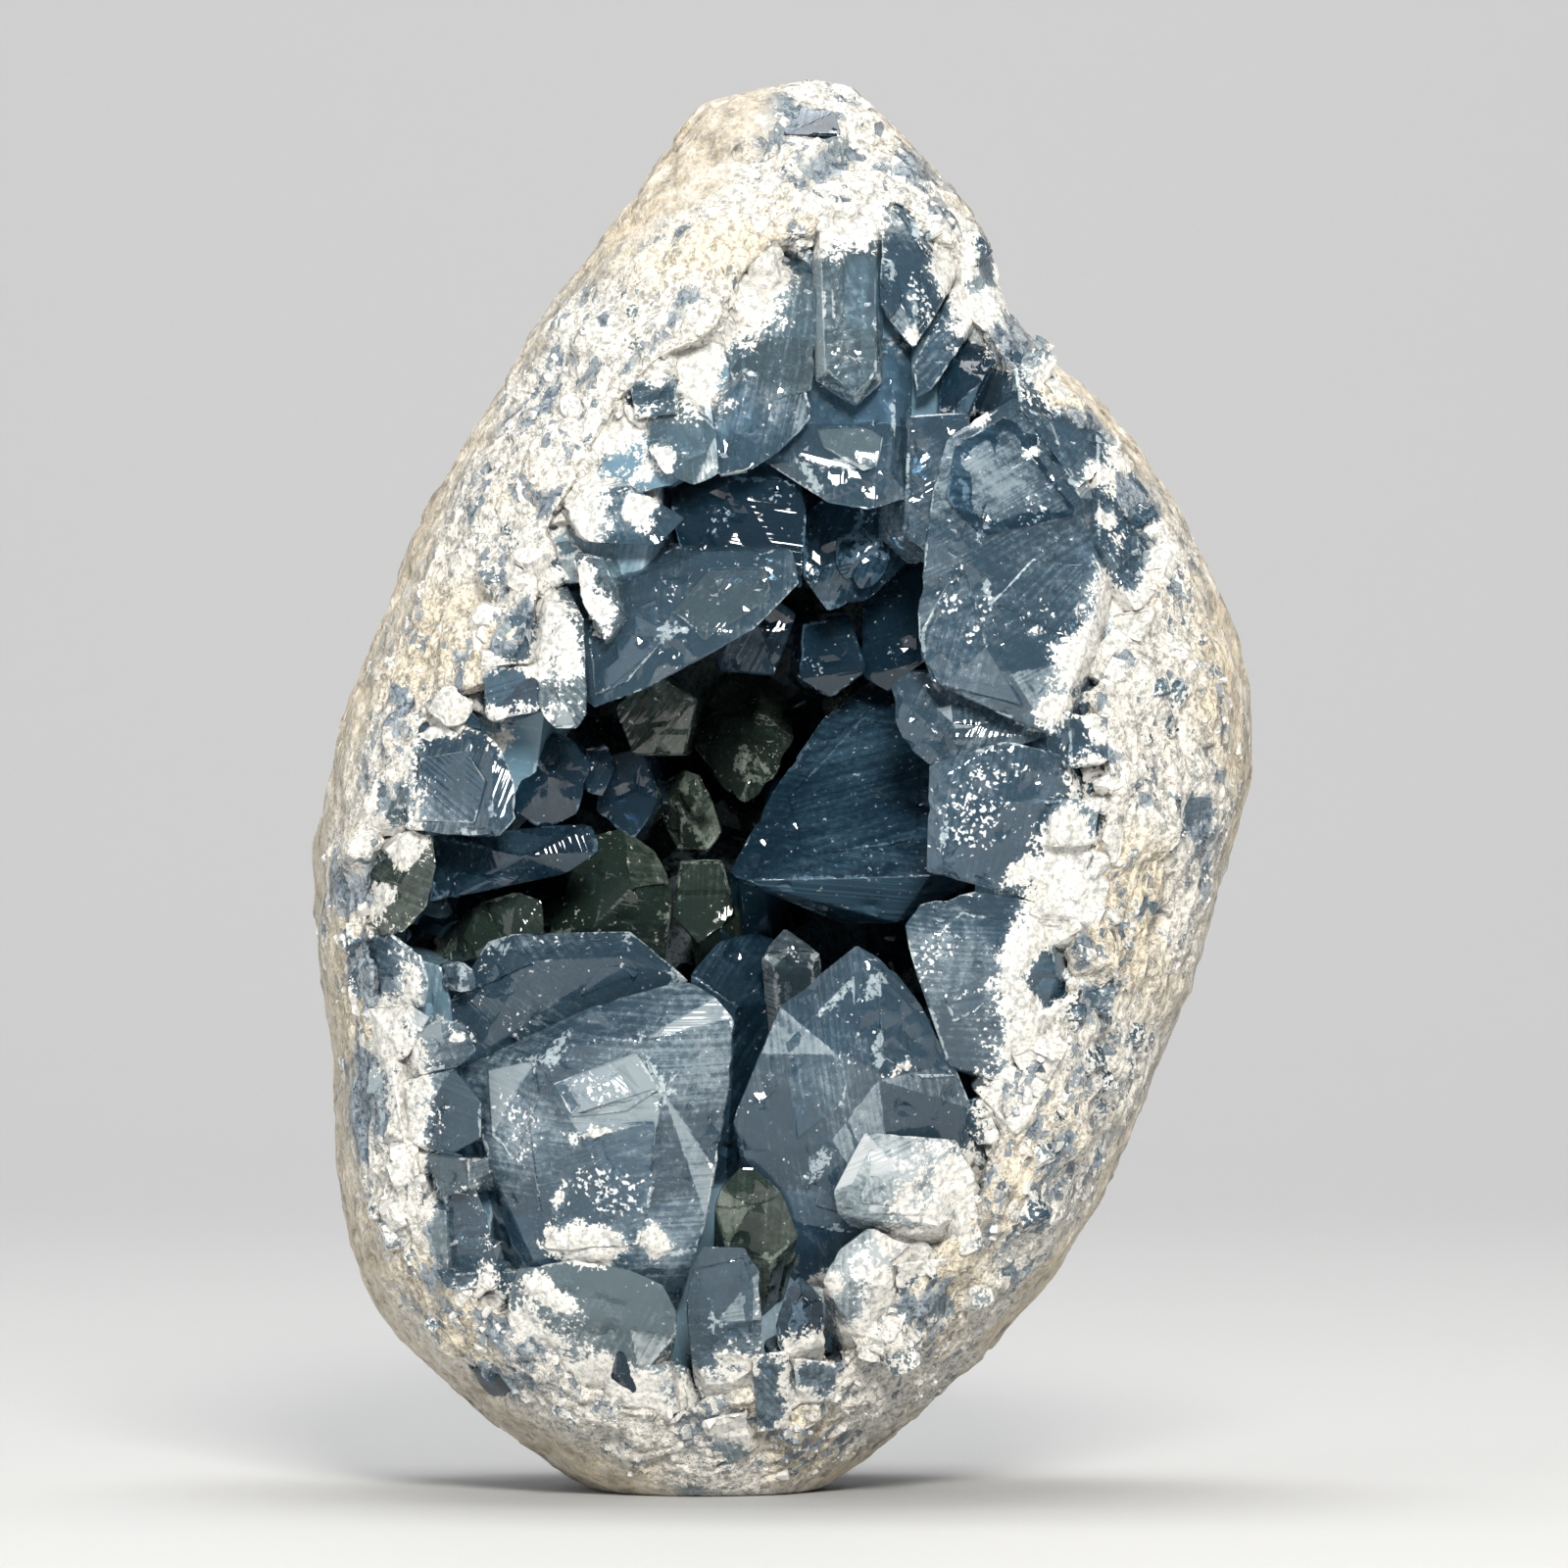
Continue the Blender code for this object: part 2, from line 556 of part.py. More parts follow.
def make_small_crystal(root, tip, width, thickness, roll, blunt):
    """A tabular crystal with a six-sided section and a roof-shaped or slanted end."""
    axis = (tip - root).normalized()
    across = axis.cross(Vector((0.0, 1.0, 0.0)))
    if across.length < 0.2:
        across = axis.cross(Vector((0.0, 0.0, 1.0)))
    across = Matrix.Rotation(roll, 3, axis) @ across.normalized()
    up = across.cross(axis)
    length = (tip - root).length
    bm = bmesh.new()
    bmesh.ops.create_cube(bm, size=4 * length)
    bmesh.ops.translate(bm, vec=(root + tip) / 2, verts=bm.verts)
    cut(bm, root, -axis)
    for sign in (-1, 1):
        cut(bm, root + sign * up * thickness / 2, sign * up)
        for lean in (-SIDE_LEAN, SIDE_LEAN):
            side = math.cos(lean) * sign * across + math.sin(lean) * up
            cut(bm, root + sign * across * width / 2, side)
        cap_lean = CAP_LEAN * (BLUNT_CAP if blunt and sign > 0 else 1.0)
        cut(bm, tip, math.cos(cap_lean) * axis + math.sin(cap_lean) * sign * across)
    return bm


def small_crystals(draw):
    """Roots and tips for the rows on the hollow's wall, each leaning in at random."""
    centre = Vector(MOUTH_CENTRE)
    outline = [Vector(p) for p in MOUTH]
    for y, share, count in SMALL_ROWS:
        start = draw.random()
        for k in range(count):
            place = (k + start + draw.uniform(-0.25, 0.25)) / count * len(outline)
            i = int(place) % len(outline)
            flat = outline[i].lerp(outline[(i + 1) % len(outline)], place % 1)
            flat = centre + share * (flat - centre)
            inward = Vector((centre.x - flat.x, 0.0, centre.y - flat.y)).normalized()
            inward.y = -0.15 - 0.8 * (1 - share)
            lean = Vector([draw.uniform(-SMALL_LEAN, SMALL_LEAN) for _ in range(3)])
            root = Vector((flat.x, y, flat.y)) - SMALL_SINK * inward.normalized()
            yield root, root + draw.uniform(*SMALL_LENGTH) * (inward + lean).normalized()


def make_crystals(collection, draw):
    for name, (root, *groups) in CRYSTALS.items():
        corners = [corner for group in groups for corner in group]
        helper_object(name, make_large_crystal(root, corners), collection)
    for k, (root, tip) in enumerate(small_crystals(draw)):
        width = draw.uniform(*SMALL_WIDTH)
        thickness = width * draw.uniform(*SMALL_FLATNESS)
        roll = draw.uniform(-math.pi, math.pi)
        bm = make_small_crystal(root, tip, width, thickness, roll, draw.random() < 0.5)
        helper_object(f"small_crystal_{k}", bm, collection)


def make_rim_lumps(collection, draw):
    """Blocks sunk in the rind just outside the mouth, like its broken matrix."""
    for k in range(RIM_LUMPS):
        outline = mouth_points(-draw.uniform(*RIM_REACH))
        flat = outline[int((k + draw.uniform(-0.3, 0.3)) / RIM_LUMPS * len(outline))]
        size = draw.uniform(*RIM_SIZE)
        lean = Vector([draw.uniform(-1, 1) for _ in range(3)])
        roll = draw.uniform(0, math.pi)
        left, right = between(OUTLINE, flat.y)
        out = front_normal(flat.x, flat.y)
        margin = size / 2
        on_front = left + margin < flat.x < right - margin and size < flat.y < HEIGHT - size
        if not on_front or -out.y < RIM_FACING:
            continue
        middle = placed(flat.x, flat.y, 0) - (RIM_SINK * size - RIM_PROUD) * out
        half = (lean - 0.6 * lean.dot(out) * out).normalized() * size * LUMP_HALF
        bm = make_small_crystal(middle - half, middle + half, size, LUMP_FLATNESS * size, roll, False)
        helper_object(f"rim_lump_{k}", bm, collection)


def make_pits(collection, draw):
    for k, (x, z) in enumerate(PITS):
        middle = placed(x, z, PIT_DEPTH)
        half = Vector([draw.uniform(-1, 1) for _ in range(3)]).normalized() * PIT_SIZE * LUMP_HALF
        bm = make_small_crystal(middle - half, middle + half, PIT_SIZE, LUMP_FLATNESS * PIT_SIZE, k, False)
        helper_object(f"pit_{k}", bm, collection)


def join_or_cut(obj, operation, other):
    """Applies one Boolean with an object or a whole collection.

    The crystals cross at shallow angles, where only the manifold solver leaves a closed mesh.
    """
    modifier = obj.modifiers.new(operation.lower(), "BOOLEAN")
    modifier.operation = operation
    modifier.solver = "MANIFOLD"
    if isinstance(other, bpy.types.Collection):
        modifier.operand_type = "COLLECTION"
        modifier.collection = other
    else:
        modifier.object = other
    graph = bpy.context.evaluated_depsgraph_get()
    result = bpy.data.meshes.new_from_object(obj.evaluated_get(graph))
    obj.modifiers.remove(modifier)
    obj.data = result


def islands(bm):
    left = set(bm.verts)
    while left:
        found = {left.pop()}
        edge = list(found)
        while edge:
            vert = edge.pop()
            for link in vert.link_edges:
                other = link.other_vert(vert)
                if other not in found:
                    found.add(other)
                    edge.append(other)
        left -= found
        yield found


def keep_outer_body(obj):
    """Drops pockets sealed between crystals, and slips cut off from the rest."""
    bm = bmesh.new()
    bm.from_mesh(obj.data)
    bmesh.ops.triangulate(bm, faces=bm.faces)
    bmesh.ops.remove_doubles(bm, verts=bm.verts, dist=1e-7)
    bmesh.ops.dissolve_degenerate(bm, edges=bm.edges, dist=1e-7)
    largest = max(islands(bm), key=len)
    bmesh.ops.delete(bm, geom=[v for v in bm.verts if v not in largest], context="VERTS")
    bm.to_mesh(obj.data)
    bm.free()


def make_material(name, colour, roughness, transmission=0.0):
    material = bpy.data.materials.new(name)
    material.use_nodes = True
    shader = material.node_tree.nodes["Principled BSDF"]
    shader.inputs["Base Color"].default_value = (*colour, 1.0)
    shader.inputs["Roughness"].default_value = roughness
    shader.inputs["Metallic"].default_value = 0.0
    shader.inputs["Transmission Weight"].default_value = transmission
    shader.inputs["IOR"].default_value = IOR
    return material


def dress(obj, material):
    obj.data.materials.clear()
    obj.data.materials.append(material)


def make_rind(draw):
    lumps = helper_collection("rim_lumps")
    make_rim_lumps(lumps, draw)
    pits = helper_collection("pits")
    make_pits(pits, draw)
    hollow = helper_object("hollow", make_hollow(0.0))
    rind = mesh_object("rind", make_egg())
    join_or_cut(rind, "UNION", lumps)
    join_or_cut(rind, "DIFFERENCE", pits)
    join_or_cut(rind, "DIFFERENCE", hollow)
    keep_outer_body(rind)
    dress(rind, make_material("pale_matrix", (0.62, 0.57, 0.49), 0.85))


def make_crust(draw):
    crystals = helper_collection("crystals")
    make_crystals(crystals, draw)
    inside_egg = helper_object("inside_egg", make_egg(CRUST_SETBACK))
    space = helper_object("space", make_hollow(GAP))
    open_middle = helper_object("open_middle", make_hollow(CRUST_THICK, NARROWING[0][0] - 10))
    crust = mesh_object("crystal_crust", make_hollow(-SMALL_SINK))
    join_or_cut(crust, "INTERSECT", inside_egg)
    join_or_cut(crust, "DIFFERENCE", open_middle)
    join_or_cut(crust, "UNION", crystals)
    join_or_cut(crust, "INTERSECT", space)
    keep_outer_body(crust)
    dress(crust, make_material("pale_blue_celestite", (0.36, 0.45, 0.54), 0.12, 0.6))


def main():
    clear_scene()
    make_rind(random.Random(3))
    make_crust(random.Random(8))


main()
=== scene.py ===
import math
import random

import bmesh
import bpy
import numpy as np
from mathutils import Matrix, Vector, noise
from mathutils.kdtree import KDTree

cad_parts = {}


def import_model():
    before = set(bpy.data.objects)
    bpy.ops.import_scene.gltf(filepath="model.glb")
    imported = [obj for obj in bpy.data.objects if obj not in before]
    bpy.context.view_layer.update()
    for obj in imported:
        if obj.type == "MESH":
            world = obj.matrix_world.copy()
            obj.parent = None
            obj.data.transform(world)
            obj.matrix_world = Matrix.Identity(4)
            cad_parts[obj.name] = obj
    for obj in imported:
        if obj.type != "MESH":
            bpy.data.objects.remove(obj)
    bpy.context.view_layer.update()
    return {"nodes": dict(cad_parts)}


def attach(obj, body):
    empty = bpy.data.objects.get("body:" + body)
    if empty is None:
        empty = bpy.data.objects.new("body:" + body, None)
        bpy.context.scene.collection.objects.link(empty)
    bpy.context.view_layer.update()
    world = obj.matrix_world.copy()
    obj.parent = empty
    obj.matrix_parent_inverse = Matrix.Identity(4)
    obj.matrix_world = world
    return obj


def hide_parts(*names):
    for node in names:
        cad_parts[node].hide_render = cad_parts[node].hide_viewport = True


MM = 0.001

# The egg's front, as the source of the solids has it: left and right edge at each height
HEIGHT = 150.0
OUTLINE = (
    (0.0, -20.5, 4.0), (2.0, -24.0, 7.0), (4.5, -27.5, 10.0), (8.0, -32.0, 14.7),
    (12.0, -36.8, 19.0), (16.0, -41.0, 23.1), (20.0, -44.1, 26.6), (24.5, -45.9, 30.0),
    (30.0, -47.2, 33.6), (37.0, -48.0, 36.6), (45.0, -47.8, 39.9), (53.5, -48.9, 43.2),
    (61.0, -50.05, 45.6), (68.0, -50.05, 47.9), (75.0, -48.9, 49.7), (81.0, -47.3, 50.05),
    (87.0, -44.9, 49.4), (93.0, -42.6, 47.6), (99.0, -40.4, 44.9), (105.0, -37.8, 41.8),
    (110.5, -34.7, 38.1), (116.0, -30.9, 33.4), (120.4, -28.7, 28.4), (124.5, -25.9, 24.6),
    (128.7, -22.9, 22.2), (133.0, -19.8, 21.9), (137.0, -16.7, 19.5), (141.0, -14.1, 15.6),
    (144.8, -11.4, 12.1), (147.3, -8.8, 9.6), (148.6, -3.0, 8.3), (149.6, -0.8, 6.0),
)
RING_POWER = 2.1
WIDEST_Z = 66.0
WIDEST_HALF = 48.5
AXIS_Y = -4.6
FRONT_SHARE = 0.84
FLAT_HALF_DEPTH = 19.0
UPPER_TAPER = (1.9, 0.8)
LOWER_TAPER = (2.2, 0.6)
TOP_ROUNDING = 2.0

# The edge of the hollow's mouth, clockwise from the top, as x and z
MOUTH = (
    (5.2, 136.0), (13.6, 139.1), (19.8, 134.5), (22.4, 125.0), (28.7, 117.5), (36.0, 108.4),
    (38.6, 99.0), (36.0, 90.6), (32.8, 81.2), (33.4, 70.5), (30.6, 59.3), (27.6, 47.9),
    (22.2, 38.0), (16.9, 26.5), (9.6, 17.6), (0.0, 11.2), (-10.4, 9.3), (-20.9, 11.2),
    (-30.2, 18.2), (-37.5, 29.1), (-41.7, 40.6), (-43.8, 50.0), (-44.2, 59.3), (-42.6, 69.5),
    (-39.4, 80.0), (-29.6, 86.5), (-25.6, 95.4), (-22.8, 105.2), (-18.8, 113.6), (-11.5, 120.5),
    (-5.2, 127.0), (0.0, 133.0),
)
MOUTH_CENTRE = (-6.0, 72.0)
NARROWING = ((-62.0, 1.0), (-25.0, 0.99), (-8.0, 0.9), (4.0, 0.78), (12.0, 0.6), (17.5, 0.36))
HOLLOW_BACK = 21.0
NARROWEST = 0.05

# Where the weathered skin starts, seen from the front: x at each height
SKIN_LEFT = (
    (0.0, -12.0), (5.0, -22.0), (10.0, -31.0), (15.0, -37.0), (22.0, -42.0), (30.0, -45.5),
    (40.0, -47.3), (60.0, -49.0), (79.0, -46.9), (90.6, -42.8), (102.0, -37.5), (113.6, -31.3),
    (124.0, -25.0), (132.4, -16.7), (137.6, -6.8), (150.0, 0.0),
)
SKIN_RIGHT = (
    (0.0, 2.0), (4.0, 8.0), (12.0, 18.0), (25.0, 29.5), (40.0, 37.5), (60.0, 45.0),
    (81.0, 49.5), (100.0, 44.5), (120.0, 29.0), (140.0, 17.0), (150.0, 9.0),
)
CRYSTALS = {
    "hanging_prism": (
        (8, 138, 12),
        ((3.8, 134, 0.8), (9.6, 134, 0.5), (9.7, 118, 0.3), (7.3, 115.6, 0.3), (4.3, 118.2, 0.6)),
        ((2.8, 133, 4), (10.5, 133, 4), (10.4, 117.0, 3.5), (7.5, 114.2, 3), (3.2, 117.0, 4)),
    ),
    "hanging_neighbour": (
        (-3, 134, 14),
        ((-6.3, 121.8, 3), (-5.5, 117, 3), (-1.6, 114.7, 2.6), (3, 116, 3.5), (4, 126.5, 3)),
        ((0.2, 127, 1.6), (-0.3, 116, 1.6), (-2.5, 125, 2.5)),
    ),
    "upper_block": (
        (9, 134, 20),
        ((13.5, 121.5, 7), (13.4, 104.9, 7.5), (9, 103.4, 7), (4.5, 104.2, 7), (-2.5, 108.8, 7.5)),
        ((0, 120, 7.5), (11.5, 107.2, 5.5), (1, 110, 5.5), (11.5, 120, 5.5)),
    ),
    "upper_right_wedge": (
        (18, 141, 12),
        ((10.7, 137.6, 1.5), (14, 136.8, 0.8), (18.5, 136.5, 1), (20.8, 134, 2.5), (17.5, 128, 1.2)),
        ((16, 124, 2), (13.5, 120.5, 2.5), (10.3, 124.3, 2.2), (10.2, 131, 1.5), (14, 127.5, 0.2)),
    ),
    "upper_right_blade": (
        (25, 133, 14),
        ((21.8, 134.2, 3.5), (22.3, 127, 2.2), (20, 124.8, 1.4), (17.8, 119.5, 2.4), (15.6, 116.3, 4)),
        ((13.7, 115.2, 5), (13.4, 119, 4.5), (16.8, 125.2, 2), (19.4, 130, 1.6)),
    ),
    "upper_right_dark": (
        (27, 124, 16),
        ((20.5, 124.8, 5), (22.6, 122.3, 4), (22.6, 119.8, 4), (21, 117.5, 4.5), (18.8, 112.4, 6)),
        ((16, 113, 7), (16.5, 121, 7)),
    ),
    "upper_left_lip": (
        (-15, 119, 14),
        ((-14, 109.8, 1.5), (-12.5, 107.3, 1.5), (-9.5, 106, 1.2), (-6.6, 106.9, 1.8), (-7, 112, 1)),
        ((-10, 115, 1), (-14, 113.5, 1.2)),
    ),
    "upper_middle_lip": (
        (-5, 125, 15),
        ((-7.5, 113, 2.4), (-6.8, 106.8, 2.6), (-3.5, 107.3, 2.2), (-0.5, 109.5, 2.4), (3.2, 113, 3.4)),
        ((2.2, 117, 3), (-4, 118, 2)),
    ),
    "glassy_lump": (
        (-24, 108, 12),
        ((-22.6, 103.5, 0.8), (-21, 105.6, 0.8), (-16, 106.2, 1), (-13.5, 104.5, 2), (-10.2, 102.7, 3.5)),
        ((-13, 99.8, 2.5), (-17, 99.8, 1.5), (-20.3, 100.2, 1), (-17, 103.5, 0.2)),
    ),
    "great_plate": (
        (-26, 100, 24),
        ((-19.8, 82.8, 4), (-21.3, 91, 4), (-19.5, 95.2, 4), (-12.5, 96.4, 4.2), (-8.5, 99.2, 5.5)),
        ((1, 99.5, 7), (1.8, 96, 7), (-3, 91, 5.6), (-8.5, 88.1, 4.6), (-14.2, 84.8, 4), (-12.4, 91, 2.6)),
    ),
    "plate_back": (
        (-4, 118, 30),
        ((-12, 103.8, 8), (-10.5, 97.5, 8), (1.9, 95.3, 9), (2.4, 103, 9), (1.5, 107, 9), (-5, 107, 8)),
    ),
    "finger": (
        (-27, 97, 12),
        ((-24.6, 93.5, 0.6), (-20.8, 92.3, 0.8), (-20.3, 82.4, 1), (-21.4, 80.6, 1), (-24, 80.6, 0.8)),
        ((-25.4, 82.6, 0.8), (-25.6, 88, 0.8), (-23.2, 84, 0.1), (-23, 92, 0.1)),
    ),
    "left_block": (
        (-49, 78, 12),
        ((-40.6, 79.3, 1.4), (-38.5, 83, 2.2), (-31, 80.3, 1.4), (-29.2, 78.6, 1.6), (-27.9, 75, 2.2)),
        ((-27.8, 71.2, 2.2), (-29.6, 69.3, 1.4), (-35.5, 69.7, 0.8), (-39.2, 70.4, 0.8)),
        ((-38.8, 78.6, 0.4), (-30.6, 78.4, 0.6), (-30.4, 70.4, 0.6)),
    ),
    "green_block": (
        (-50, 66, 12),
        ((-44.6, 65.5, 2), (-39, 70, 2), (-36.6, 69.5, 2.2), (-36.2, 66.5, 2.4), (-37.3, 62, 2.4)),
        ((-40, 59.3, 2), (-42.5, 58.9, 2), (-44.6, 60.5, 2), (-40.5, 64.5, 1)),
    ),
    "dark_shelf": (
        (-44, 66, 22),
        ((-36.5, 69.6, 9), (-20, 71, 14), (-19, 68, 14), (-22.5, 65.6, 13), (-37, 62.6, 9)),
        ((-27, 67.5, 9.5),),
    ),
    "left_broken": (
        (-50, 55, 12),
        ((-45, 58.6, 2), (-41, 59.5, 2.2), (-38, 57.2, 3), (-37, 54.2, 3.4), (-37.6, 51.5, 3)),
        ((-42, 51, 2), (-45.5, 52.5, 2), (-41.5, 55.5, 1.2)),
    ),
    "pale_nugget": (
        (-47, 48, 8),
        ((-44.3, 50, 0.8), (-43.2, 51.6, 0.8), (-39, 51.9, 1), (-36.8, 50.7, 1.6), (-39, 48.5, 1)),
        ((-39.4, 46.4, 1), (-42.5, 45.5, 0.8), (-44.2, 47.4, 0.8), (-41.5, 49.5, 0.2)),
    ),
    "nugget_block": (
        (-42, 42, 14),
        ((-39.3, 49, 1.8), (-36, 50.6, 2), (-33.3, 50.2, 2.2), (-31.8, 47, 2.4), (-34, 45.5, 2)),
        ((-38.2, 44.8, 1.6), (-35.5, 48, 1)),
    ),
    "greenish_back": (
        (-38, 55, 28),
        ((-33.8, 58.8, 13), (-32, 62.6, 14), (-28, 63.8, 15), (-25.2, 62.8, 16), (-25, 59.5, 16)),
        ((-29, 57, 13), (-33.5, 56.5, 12)),
    ),
    "dome_crystal": (
        (-21, 30, 44),
        ((-25.2, 59, 24), (-22.5, 66, 25), (-20.5, 69.6, 26), (-17, 70.5, 27), (-13.5, 68, 28)),
        ((-11.6, 64.5, 28), (-12, 60.5, 26), (-20, 60, 22), (-19, 66, 23), (-16, 64, 23)),
    ),
    "left_dark_lump": (
        (-38, 82, 26),
        ((-28.2, 79.5, 12), (-22, 79.8, 14), (-20, 77, 15), (-21.5, 71.8, 15), (-25, 70, 14)),
        ((-28, 71.8, 12), (-24.5, 76, 12)),
    ),
    "round_dark": (
        (-32, 88, 40),
        ((-21, 78.6, 19), (-18.4, 79, 20), (-17.6, 76.4, 20), (-19, 73.5, 20), (-21, 74, 19)),
    ),
    "glint_crystal": (
        (-16, 66, 64),
        ((-14.6, 74, 40), (-10.5, 76.8, 39), (-8.8, 76, 39), (-7.4, 73, 39), (-6.4, 70, 40)),
        ((-8, 67.8, 40), (-11.2, 68, 40), (-11, 72.5, 37)),
    ),
    "deep_green": (
        (-4, 86, 66),
        ((-9.8, 79, 46), (-8, 82.4, 47), (-3, 83, 47), (1.2, 80, 46), (-1, 75.5, 44)),
        ((-4.5, 73.3, 44), (-6.5, 74.3, 44), (-4, 79, 42)),
    ),
    "navy_crystal": (
        (24, 66, 60),
        ((-5.8, 65.8, 24), (-1.5, 74, 30), (4, 82, 36), (9, 86, 38), (16, 84.5, 34), (24, 79, 26)),
        ((26, 68, 20), (15.5, 65.4, 19), (-5.2, 64.9, 23), (12, 60.3, 24), (6, 60.3, 27), (-1, 63.2, 27)),
    ),
    "back_blue": (
        (18, 102, 52),
        ((8.2, 94, 30), (7.8, 86.5, 31), (11, 84.6, 30), (15, 88, 26), (17, 98, 24), (15.5, 105, 26)),
    ),
    "upper_dark": (
        (8, 122, 40),
        ((2.2, 104, 20), (2, 96.5, 21), (4.5, 93, 22), (9, 94.3, 22), (13.2, 98.3, 20)),
        ((14.6, 104, 18), (8, 107, 18), (8, 99, 18)),
    ),
    "teal_ledge": (
        (33, 85, 26),
        ((11, 85.2, 12), (11.3, 82, 11.5), (12.6, 79, 11), (15, 77, 10), (18, 77.2, 9), (24, 78.8, 7)),
        ((28.5, 80.2, 5.5), (26, 84, 7), (16, 86.6, 11), (12.8, 86.8, 12.5), (16.5, 80, 8.6)),
    ),
    "glint_nugget": (
        (2, 32, 44),
        ((-2.6, 57, 28), (0, 60, 28), (4, 57.2, 28), (3.2, 55.6, 27), (-1, 55.8, 27), (1, 57.8, 26)),
    ),
    "floor_block": (
        (-6, 28, 46),
        ((-7, 58.5, 32), (-3, 59.5, 34), (2, 57.5, 34), (-1, 52, 32), (-5, 51.5, 30), (-10, 55, 30)),
    ),
    "great_right": (
        (42, 100, 26),
        ((20.4, 112.8, 3), (17, 111.4, 3.6), (15.6, 107, 4.4), (14.8, 101, 5), (13.8, 93, 6)),
        ((13.9, 90, 6), (15.2, 85.6, 6), (22, 82.4, 4), (28, 79.8, 2.8), (31, 88, 1.4), (33, 96, 1.2)),
        ((31, 105, 1), (28, 113, 1), (24, 115.6, 1.6), (20.8, 96.6, 1.2), (23.5, 86.5, 2)),
        ((19.5, 107.5, 2),),
    ),
    "frosted_ledge": (
        (38, 68, 20),
        ((15, 77, 5.5), (14.7, 65.8, 5.5), (20, 64.5, 4.6), (26, 63, 3.6), (31, 61.6, 2.2), (32, 70, 1.2)),
        ((29, 78, 2), (23, 79.6, 3.6), (18, 78, 4.6), (16.5, 66.8, 4.2), (17, 76, 4.2)),
    ),
    "right_lower": (
        (34, 46, 18),
        ((12.4, 60.4, 5.2), (14, 62.6, 6), (20, 64, 5.4), (27, 62.8, 4), (28.4, 55, 2), (26, 48, 2)),
        ((22, 44.2, 3), (17, 45.5, 4.6), (15, 52, 4.6), (13, 57, 4.8), (16, 59.5, 3.2), (25, 57.5, 1.6)),
    ),
    "pyramid": (
        (6, 14, 30),
        ((7.5, 58.4, 5), (-0.5, 52, 5.5), (-2.5, 47, 5.2), (-5.4, 40.2, 5), (-4.4, 36.5, 4.6)),
        ((1, 29.5, 4), (12, 27, 3.6), (20, 36, 5), (19.8, 41, 5), (17.8, 46, 5), (14.2, 52.3, 5.2)),
        ((11, 56.4, 5), (5.4, 47, 1.6), (5, 38, 1.4), (9.9, 44.3, 1.2), (10, 55.5, 3.2)),
    ),
    "great_block_back": (
        (-26, 36, 34),
        ((-35, 52.3, 8), (-31, 58.6, 10), (-28.5, 59.4, 10.5), (-16, 59.7, 11.5), (-12.8, 57, 11)),
        ((-9.8, 54.6, 10), (-34, 45, 7), (-26, 56.5, 7), (-17, 57, 8)),
    ),
    "great_block": (
        (-22, 12, 26),
        ((-10, 54.8, 8), (-7, 53, 7), (-5.1, 50.7, 6), (-5.5, 44, 5.4), (-7, 35, 4.6), (-8, 29.5, 4)),
        ((-9.4, 25.4, 3.4), (-17, 23.6, 2.6), (-26, 25, 2.4), (-29, 31, 3.4), (-31.8, 38, 4.4)),
        ((-34.2, 45.2, 6), (-25, 46.5, 3), (-15, 48.4, 2.6), (-12.6, 43.2, 2), (-22.4, 40.4, 1.8)),
        ((-14.8, 28, 1.4), (-20, 52, 6)),
    ),
    "bright_facet": (
        (16, 26, 12),
        ((5, 32.7, 1.4), (5.5, 30.2, 1.2), (8, 29.8, 0.8), (16, 29, 0.6), (20, 33, 1), (18, 38, 1.8)),
        ((8.3, 39, 2), (12, 35, 0.3)),
    ),
    "olive_crystal": (
        (-5, 18, 16),
        ((-7.3, 31, 3.4), (-6.8, 33, 3.6), (-4.5, 35.4, 3.8), (-3, 35.3, 3.8), (0, 32.5, 3.6)),
        ((1.6, 28, 3), (-1, 25.5, 2.6), (-6, 26.5, 3), (-3.4, 31, 2)),
    ),
    "bottom_block": (
        (-6, 6, 12),
        ((-9.6, 25, 1.6), (-8.5, 27, 1.8), (-4, 26.9, 1.8), (-2.5, 24.5, 1.6), (-2.2, 19, 1.2)),
        ((-2.4, 14.5, 1), (-5, 12.8, 0.8), (-8.2, 12.5, 0.8), (-9.8, 16, 1), (-10.3, 21, 1.2)),
        ((-7, 19, 0.2),),
    ),
    "milky_boss": (
        (-20, 6, 14),
        ((-29, 20.8, 1.2), (-28, 24.5, 1.4), (-22, 25.6, 1.2), (-16, 24.6, 1), (-12.5, 23, 1.2)),
        ((-11, 20, 1.2), (-11.2, 17.4, 1), (-15, 13, 0.8), (-21, 12.3, 0.6), (-25, 14.4, 0.8)),
        ((-28.4, 17.8, 1), (-20, 19, 0.1), (-24, 20, 0.1), (-16, 18, 0.2)),
    ),
    "dark_left_face": (
        (-42, 26, 12),
        ((-36, 37, 1.2), (-33.5, 36.5, 1.6), (-31, 30, 1.8), (-29.4, 23, 1.6), (-33, 20.8, 1.2)),
        ((-35.8, 23, 1), (-35.4, 30, 0.8)),
    ),
    "violet_block": (
        (-44, 38, 14),
        ((-39.5, 44, 1.2), (-34.5, 45.5, 2.2), (-31.5, 42, 2.6), (-31.5, 38, 2.4), (-35, 36, 1.4)),
        ((-39, 38, 1),),
    ),
    "low_right_lump": (
        (8, 12, 12),
        ((5.6, 26.5, 1.6), (9, 29, 1.4), (13, 27, 1), (13.5, 22, 0.8), (9, 16.8, 0.8), (6.5, 19, 1)),
        ((4, 23.5, 1.4), (9, 23, 0.2)),
    ),
    "low_facets": (
        (2, 10, 12),
        ((0.2, 22.4, 1.6), (1.7, 24, 1.8), (4.2, 21.6, 1.4), (4, 17, 1), (0, 15.4, 1), (-1, 19, 1.4)),
        ((1.8, 20, 0.6),),
    ),
}
ROOT_SPREAD = 0.7

